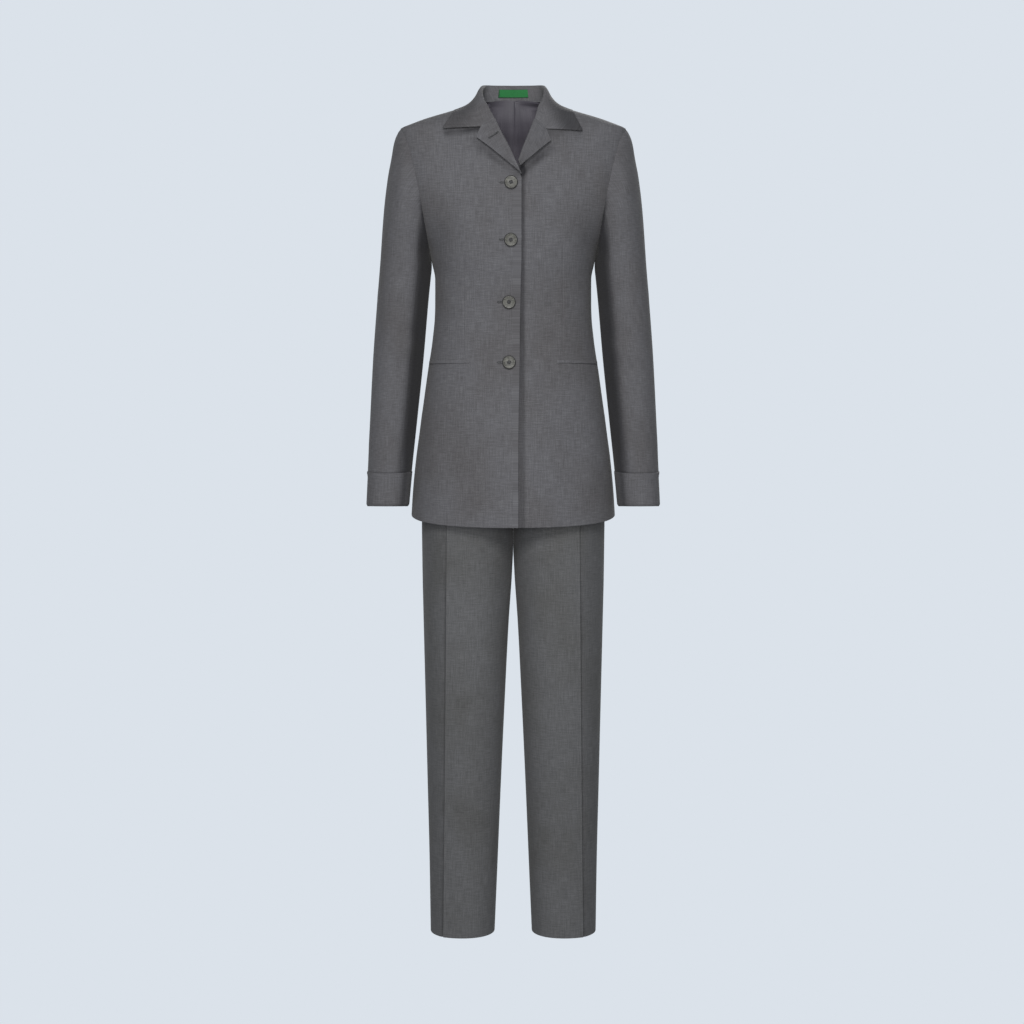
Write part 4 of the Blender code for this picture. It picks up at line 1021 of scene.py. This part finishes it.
def turnedDisc():  # the button's half section spun round, then its four holes cut
    clear()
    bpy.ops.mesh.primitive_plane_add(size=0.001)
    disc = bpy.context.object
    disc.name = "buttonBlank"
    mesh = disc.data
    mesh.clear_geometry()
    mesh.vertices.add(len(button["profile"]))
    mesh.edges.add(len(button["profile"]) - 1)
    for k, (radius, height) in enumerate(button["profile"]):
        mesh.vertices[k].co = (radius * mm, 0, height * mm)
    for k, edge in enumerate(mesh.edges):
        edge.vertices = (k, k + 1)
    weld(disc, steps=48, angle=2 * math.pi)
    for k in range(4):
        turn = math.radians(45 + 90 * k)
        clear()
        bpy.ops.mesh.primitive_cylinder_add(vertices=20, radius=button["holeRadius"] * mm, depth=0.01,
                                            location=(button["holeAway"] * math.cos(turn) * mm,
                                                      button["holeAway"] * math.sin(turn) * mm, 0.0015))
        drill = bpy.context.object
        selectOnly(disc)
        setAll(disc.modifiers.new("hole", "BOOLEAN"), operation="DIFFERENCE", solver="EXACT", object=drill)
        bpy.ops.object.modifier_apply(modifier="hole")
        bpy.data.objects.remove(drill, do_unlink=True)
    paint(disc, horn, hornShade, hornDeepShade)
    for face in disc.data.polygons:
        away = math.hypot(face.center.x, face.center.y) / mm
        if face.center.z > 0.3 * mm:  # painted shade: darkest at the centre and round the rim, and half dark in the dish
            dark = away < button["centre"] or away > button["rim"]
            face.material_index = 2 if dark else int(away < button["dish"])
    selectOnly(disc)
    bpy.ops.object.shade_smooth_by_angle(angle=math.radians(35))
    return disc


def threadTube(name, points, radius, closed=False, sides=2):
    curve = bpy.data.curves.new(name, "CURVE")
    setAll(curve, dimensions="3D", bevel_depth=radius * mm, bevel_resolution=sides, use_fill_caps=not closed)
    line = curve.splines.new("POLY")
    line.points.add(len(points) - 1)
    spots = np.column_stack((points * mm, np.ones(len(points))))
    line.points.foreach_set("co", spots.astype(np.float32).ravel())
    line.use_cyclic_u = closed
    selectOnly(addObject(name, curve))
    bpy.ops.object.convert(target="MESH")
    piece = bpy.context.object
    paint(piece, thread)
    piece.data.shade_smooth()
    return piece


def seatFrame(shape, x, z, lift):  # where something sits on the cloth, and the way it faces
    z, angle = np.float64(z), float(ringAngle(shape, z, x))
    out = ringNormal(shape, z, np.float64(angle))
    side = unit(np.cross(np.array((0, 0, 1)), out))
    return onShape(shape, z, angle, lift), side, np.cross(out, side), out


def placed(piece, seatPlace, turn=0):
    seat, side, up, out = seatPlace
    c, s = math.cos(turn), math.sin(turn)
    spots = spotsOf(piece.data)
    a = spots[:, :1] * c - spots[:, 1:2] * s
    b = spots[:, :1] * s + spots[:, 1:2] * c
    moveSpots(piece.data, seat * mm + a * side + b * up + spots[:, 2:] * out)


def crossStitch(name):  # two strands over each pair of holes, and the wrapped shank below
    away = button["holeAway"] * math.cos(math.radians(45))
    strands = []
    t = np.linspace(0, 1, 13)
    for k in range(4):
        shift = 0.22 if k > 1 else -0.22
        end = -1 if k % 2 else 1
        height = np.where((t > 0) & (t < 1), 2.75 + 0.35 * (k % 2) * np.sin(math.pi * t), 1.2)
        x, y = blended(-1, 1, t) * away + shift * end, blended(-end, end, t) * away - shift
        strands.append(threadTube(name, np.column_stack((x, y, height)), button["strand"]))
    turn = np.linspace(0, 2 * math.pi * 6, 90)
    wrapped = np.column_stack((2 * np.cos(turn), 2 * np.sin(turn), np.linspace(-0.9, 0.5, 90)))
    strands.append(threadTube(name, wrapped, button["wrap"]))
    return joinPieces(strands, name)


def addButton(blank, name, node, seatPlace, turn):
    piece = addObject(name, blank.data.copy())
    piece.data.name = name
    placed(piece, seatPlace, turn)
    belongs(piece, "button_horn", node)
    stitch = crossStitch(name + ".thread")
    placed(stitch, seatPlace, turn)
    belongs(stitch, "button_horn")


buttonhole = {
    "length": 21, "halfWidth": 1.1, "start": -19, "gimp": 0.42, "stitches": 64, "thread": 0.26,
    "lapelSeat": (-31.5, -56.5, 5), "lapelTurn": math.atan2(13, 14),
    "lapelHole": (18, -8.5, 0.6), "lapelEyelet": (3.6, -11, 1.5),  # length, start and half width
    "points": 400,
}


def makeButtonhole(name, seatPlace, length, start, half, turn=0):  # purled round a slit
    straight, bend = length - 2 * half, math.pi * half
    rim = 2 * (straight + bend)
    at = np.linspace(0, rim, buttonhole["points"], endpoint=False)
    way = np.where(at < straight + bend, 1, -1)  # out along one side and back along the other
    at = at - np.where(way > 0, 0, straight + bend)
    swing = np.maximum(at - straight, 0) / half
    away = np.column_stack((np.sin(swing), np.cos(swing))) * way[:, None]
    middle = np.where(way > 0, np.minimum(at, straight), straight - np.minimum(at, straight)) + start + half
    coil = 2 * math.pi * buttonhole["stitches"] * np.arange(len(at)) / len(at)
    out = half + buttonhole["gimp"] * np.cos(coil)
    points = np.column_stack((middle + away[:, 0] * out, away[:, 1] * out,
                              0.2 + buttonhole["gimp"] * 0.8 * np.sin(coil)))
    purl = threadTube(name, points, buttonhole["thread"], closed=True, sides=1)
    clear()
    bpy.ops.mesh.primitive_grid_add(x_subdivisions=12, y_subdivisions=2, size=1)
    slit = bpy.context.object
    for vertex in slit.data.vertices:
        vertex.co = (((vertex.co.x + 0.5) * length + start) * mm, vertex.co.y * 1.5 * half * mm, 0.12 * mm)
    paint(slit, thread)
    purl = joinPieces((purl, slit), name)
    placed(purl, seatPlace, turn)
    belongs(purl, "button_horn")


blank = turnedDisc()
for number, (x, z) in enumerate(button["places"], start=1):
    addButton(blank, "jacketButton%d" % number, "button_%d" % number,
              seatFrame(body, x, z, button["shank"]), 0.3 * number)
    makeButtonhole("buttonhole%d" % number, seatFrame(body, x, z, 0), buttonhole["length"],
                   buttonhole["start"], buttonhole["halfWidth"])
seatPlace = seatFrame(body, *buttonhole["lapelSeat"])
for name in ("lapelHole", "lapelEyelet"):  # in the right lapel, from near its notch down towards the fold
    makeButtonhole(name, seatPlace, *buttonhole[name], buttonhole["lapelTurn"])

hips = table(
    "z half front back power",
    (-720, 154.8, 108, 112, 2.5), (-650, 155.4, 112, 117, 2.5), (-590, 155.6, 112, 118, 2.45),
    (-540, 155.4, 109, 116, 2.4), (-500, 146, 105, 110, 2.35), (-466, 134, 101, 101, 2.3),
    (-430, 126, 98, 92, 2.3),
)

addButton(blank, "trouserButton", "waist_button", seatFrame(hips, 14, -448.5, button["shank"]), 0.2)
bpy.data.objects.remove(blank, do_unlink=True)

label = {"places": 1, "shares": (0.28, 0.82), "height": 14, "lift": 1.85, "wall": 0.5,
         "selvedge": (1.1, 0.9)}


def makeLabel():
    low = []
    for place in np.linspace(-label["places"], label["places"], 45):
        stand = collarSection(abs(place))[0]
        ends = [blended(stand[0], stand[2], share) for share in label["shares"]]
        low.append([np.array((math.copysign(p[0], place), p[1], p[2])) for p in ends])
    low = np.array(low).swapaxes(0, 1)
    up = marks(label["height"], 10)[:, None]
    rows = blended(low[0], low[1], up[..., None])
    normals = gridNormals(rows)
    normals = normals * -np.sign(normals[..., 1].mean())  # towards the wearer's neck
    away = np.minimum(up, 1 - up) * 13
    points = raised(rows, normals, label["lift"] + edgeDrop(away, "label"))
    flat = joined(arcs(points, 1), arcs(points, 0))
    piece = makeCloth("neckLabel", "", points, flat, 1, "neck_label", (54, 17), ["collar"], held="laid",
                      area=0.0008, slot="label", wall=label["wall"], materials=(labelCloth, labelBorder))
    edge = np.array(label["selvedge"])
    far = flat.max(axis=(0, 1)) - edge
    layer = piece.data.uv_layers["cloth"].data
    corner = np.min([spot.uv for spot in layer], axis=0) / mm
    for face in piece.data.polygons:
        place = np.array(layer[face.loop_start].uv) / mm - corner
        if (place < edge).any() or (place > far).any():
            face.material_index = 1


makeLabel()
print("buttons, buttonholes and label made")


leg = table(
    "z outer inner front back power crease",
    (-1407, 143, 32.1, 53, 55, 2.15, 119.6), (-1283, 144.4, 26.8, 57, 59, 2.15, 117.8),
    (-1142, 147.3, 20.9, 64, 67, 2.15, 115.9), (-1003, 150.1, 14.5, 74, 77, 2.15, 113.9),
    (-864, 152.9, 7.5, 87, 90, 2.2, 111.9), (-828, 153.6, 5, 90.5, 93.5, 2.2, 111.4),
    (-803, 154.1, 3.2, 93, 96, 2.2, 111.1), (-777, 154.4, 1.5, 96, 99, 2.2, 110.7),
    (-752, 154.6, 0, 99, 102, 2.22, 110.2), (-704, 155, 0, 104, 107, 2.25, 109.6),
)
trousers = {
    "top": -466.6, "hem": -1407, "crotchStart": -620, "crotch": -704, "waistTop": -431,
    "waistbandHeight": 35, "columns": 9, "creaseColumn": 3, "ridge": 2.4,
    "creaseShade": {"front": 0.28, "back": 0.15}, "legRows": 190, "outsideColumns": 22, "insideColumns": 40,
    "waistbandWall": 1.4, "flyTop": -468, "flyEnd": -600, "flyWall": 1, "flyLift": 1.9,
}
trouserBuild = {"slot": "trouser_cloth", "wall": 1.1, "materials": (trouserCloth, trouserCloth)}
legCreases = [  # column on the half leg x 20, z
    (170, -640, 120, -700, -1.6, 15), (176, -690, 128, -742, 1.3, 13), (174, -760, 140, -800, -0.9, 14),
    (100, -860, 130, -930, 0.8, 18), (120, -985, 84, -1010, -1.1, 15), (150, -1010, 100, -1040, 1, 14),
    (30, -1000, 16, -1060, -0.8, 13), (140, -1170, 110, -1260, -0.8, 18), (20, -1250, 26, -1380, 0.7, 13),
    (100, -1290, 120, -1396, 0.8, 17), (22, -700, 30, -800, 0.7, 15), (94, -560, 110, -640, -0.8, 18),
]


def legAngles(z, column):  # the same column's place round the hips and round the leg
    crease = smooth(leg, "crease", z)
    middle = trousers["creaseColumn"]
    outside, inside = column / middle, (column - middle) / (trousers["columns"] - middle)
    for shape, last in ((hips, 90), (leg, 180)):
        turn = ringAngle(shape, z, crease)
        yield np.where(column <= middle, turn * outside, blended(turn, last, inside))


def makeLeg(face, side):
    sign = 1 if face == "front" else -1
    z = blended(trousers["hem"], trousers["top"], marks(940, trousers["legRows"]))[:, None]
    middle = trousers["creaseColumn"]
    outside = middle * marks(58, trousers["outsideColumns"])
    atCrease = len(outside) - 1
    inside = middle + (trousers["columns"] - middle) * marks(105, trousers["insideColumns"])
    column = np.concatenate((outside, inside[1:]))[None, :]
    hipAngle, legAngle = legAngles(z, column)
    fall = np.clip((trousers["crotchStart"] - z) / (trousers["crotchStart"] - trousers["crotch"]), 0, 1)
    seamShare = 1 - np.sqrt(1 - fall * fall)
    clothShare = rise(z, trousers["crotchStart"] + 20, -110)
    share = blended(clothShare, seamShare, (column / trousers["columns"]) ** 4)
    base = blended(ringPoint(hips, z, sign * hipAngle), ringPoint(leg, z, sign * legAngle), share[..., None])
    base[..., 0] = np.maximum(base[..., 0], 0)
    centre = base.mean(axis=1, keepdims=True) * np.array((1, 0, 1))
    normals = turnedOut(gridNormals(base), base, centre)
    across, up = arcs(base, 1), arcs(base, 0)
    fromCrease = across - across[:, atCrease:atCrease + 1]
    flat = joined(fromCrease, z)
    fromCrease = np.abs(fromCrease)
    tent = np.maximum(0, 1 - np.abs(column - middle))
    step = np.where(column < middle, -0.9 * hump(fromCrease, 1.4, 1.9), 0)
    ridge = 0.35 * tent + 0.45 * np.exp(-fromCrease / 2.2) + step
    ridge = trousers["ridge"] * rise(z, trousers["waistTop"], -120) * ridge
    toMiddle = toEdges(across)
    apart = 60 * rise(z, -800, 20)  # the inner seam isn't seen where the legs touch
    toSeam = np.minimum(across, toMiddle + apart)
    lift = creased(column * 20, z, legCreases)
    lift = lift * rise(toSeam, 0, 16) * rise(up, 0, 10) * rise(fromCrease, 0, 12)
    lift = lift + edgeDrop(toSeam, "legSeam") + edgeDrop(up, "legHem")
    points = raised(base, normals, lift) + np.array((0, -sign, 0)) * ridge[..., None]
    points[..., 0] = np.maximum(points[..., 0], 0.02)
    # painted shade: on the strip outside the crease and along the crease, more towards the hem, and a dark
    # line between the legs by the inner seam
    creaseShadow = hump(fromCrease, 3.2, 1.5) * blended(0.3, 1, rise(z, -720, -130))
    pressed = np.where(column < middle, 0.1 + trousers["creaseShade"][face] * creaseShadow, 0)
    pressed = pressed + 0.1 * rise(z, -800, -400) + 0.8 * hump(toMiddle, 5) * rise(z, -775, 20)
    node = "%s_leg_%s" % (face, side)
    makeCloth("trouser" + face.capitalize(), side, points, flat, -sign, node, (305, 955), [node], area=0.218,
              pressed=pressed, **trouserBuild)


def makeWaistband():
    turn = 90 + 360 * marks(800, 180)[None, :]
    z = trousers["waistTop"] - trousers["waistbandHeight"] * (1 - marks(35, 12))[:, None]
    lift = 0.4 + edgeDrop(np.minimum(z - z[0], z[-1] - z), "waistband")
    points = onShape(hips, z, turn, lift)
    build = {**trouserBuild, "wall": trousers["waistbandWall"]}
    makeCloth("trouserWaistband", "", points, joined(arcs(points, 1), z), -1, "waistband", (770, 36),
              ["waistband"], **build)


def makeFly():
    z = blended(trousers["flyEnd"], trousers["flyTop"], marks(132, 26))[:, None]
    width = np.interp(z, (-600, -560, -520, -468), (9, 30, 36, 36))
    across = marks(36, 12)[None, :]
    lift = trousers["flyLift"] + edgeDrop(np.minimum(across, 1 - across) * width, "fly")
    points = onShape(hips, z, ringAngle(hips, z, blended(-1, width, across)), lift)
    build = {**trouserBuild, "wall": trousers["flyWall"]}
    makeCloth("trouserFly", "", points, joined(arcs(points, 1), z), 1, "fly", (40, 134), ["front_leg_left"],
              held="laid", area=0.0044, **build)


makeBoth("trouser legs", partial(makeLeg, "front"), partial(makeLeg, "back"))
makeWaistband()
makeFly()
print("waistband and fly made")


studio = {
    "ground": "#dbe2ea", "floorLevel": -3.35, "floorRadius": 14, "aim": -0.67953,
    "distance": 3.5, "pitch": 5.6, "lens": 72.38, "shift": -0.00117, "ambient": 0.3,
}


def unlessSeen(tree, target):  # as bright as the ground to the camera, dimmer as a light on the cloth
    seen = addNode(tree, "LightPath")["Is Camera Ray"]
    tree.links.new(ranged(tree, seen, {"To Min": studio["ambient"], "To Max": 1}), target)


def makeFloor():
    clear()
    bpy.ops.mesh.primitive_circle_add(vertices=96, radius=studio["floorRadius"], fill_type="NGON",
                                      location=(0, 0, studio["floorLevel"]))
    floor = bpy.context.object
    floor.name = "studioFloor"
    bpy.ops.object.transform_apply(location=True, rotation=False, scale=False)
    material = bpy.data.materials.new("pale blue studio paper")
    material.use_nodes = True
    shader = material.node_tree.nodes["Principled BSDF"].inputs
    shader["Base Color"].default_value = (0, 0, 0, 1)
    shader["Specular IOR Level"].default_value = 0
    shader["Emission Color"].default_value = linear(studio["ground"])
    unlessSeen(material.node_tree, shader["Emission Strength"])
    paint(floor, material)


def makeLight(name, place, size, power):
    light = bpy.data.lights.new(name, "AREA")
    setAll(light, shape="RECTANGLE", size=size[0], size_y=size[1], energy=power)
    aim = np.array((0, 0, -0.6)) - np.array(place)
    pitch = math.atan2(math.hypot(aim[0], aim[1]), -aim[2])
    setAll(addObject(name, light), location=place,
           rotation_euler=(pitch, 0, math.atan2(aim[1], aim[0]) - math.pi / 2))


def makeStudio():
    makeFloor()
    scene = bpy.context.scene
    scene.world = bpy.data.worlds.new("pale blue studio")
    scene.world.use_nodes = True
    backdrop = scene.world.node_tree.nodes["Background"].inputs
    backdrop["Color"].default_value = linear(studio["ground"])
    unlessSeen(scene.world.node_tree, backdrop["Strength"])
    makeLight("keySoftbox", (-0.3, -3.2, 1.3), (1.3, 1), 60)
    makeLight("frontSoftbox", (0, -4, -0.35), (1, 1.6), 59)
    makeLight("backSoftbox", (0.9, 3.4, 1.4), (1.6, 1.6), 74)
    setAll(scene.view_settings, view_transform="Standard", look="None")
    pitch, distance = math.radians(studio["pitch"]), studio["distance"]
    camera = bpy.data.cameras.new("camera")
    setAll(camera, lens=studio["lens"], sensor_width=36, shift_x=studio["shift"])
    scene.camera = addObject("camera", camera)
    setAll(scene.camera, rotation_euler=(math.pi / 2 - pitch, 0, 0),
           location=(0, -distance * math.cos(pitch), studio["aim"] + distance * math.sin(pitch)))


makeStudio()
print("studio made")
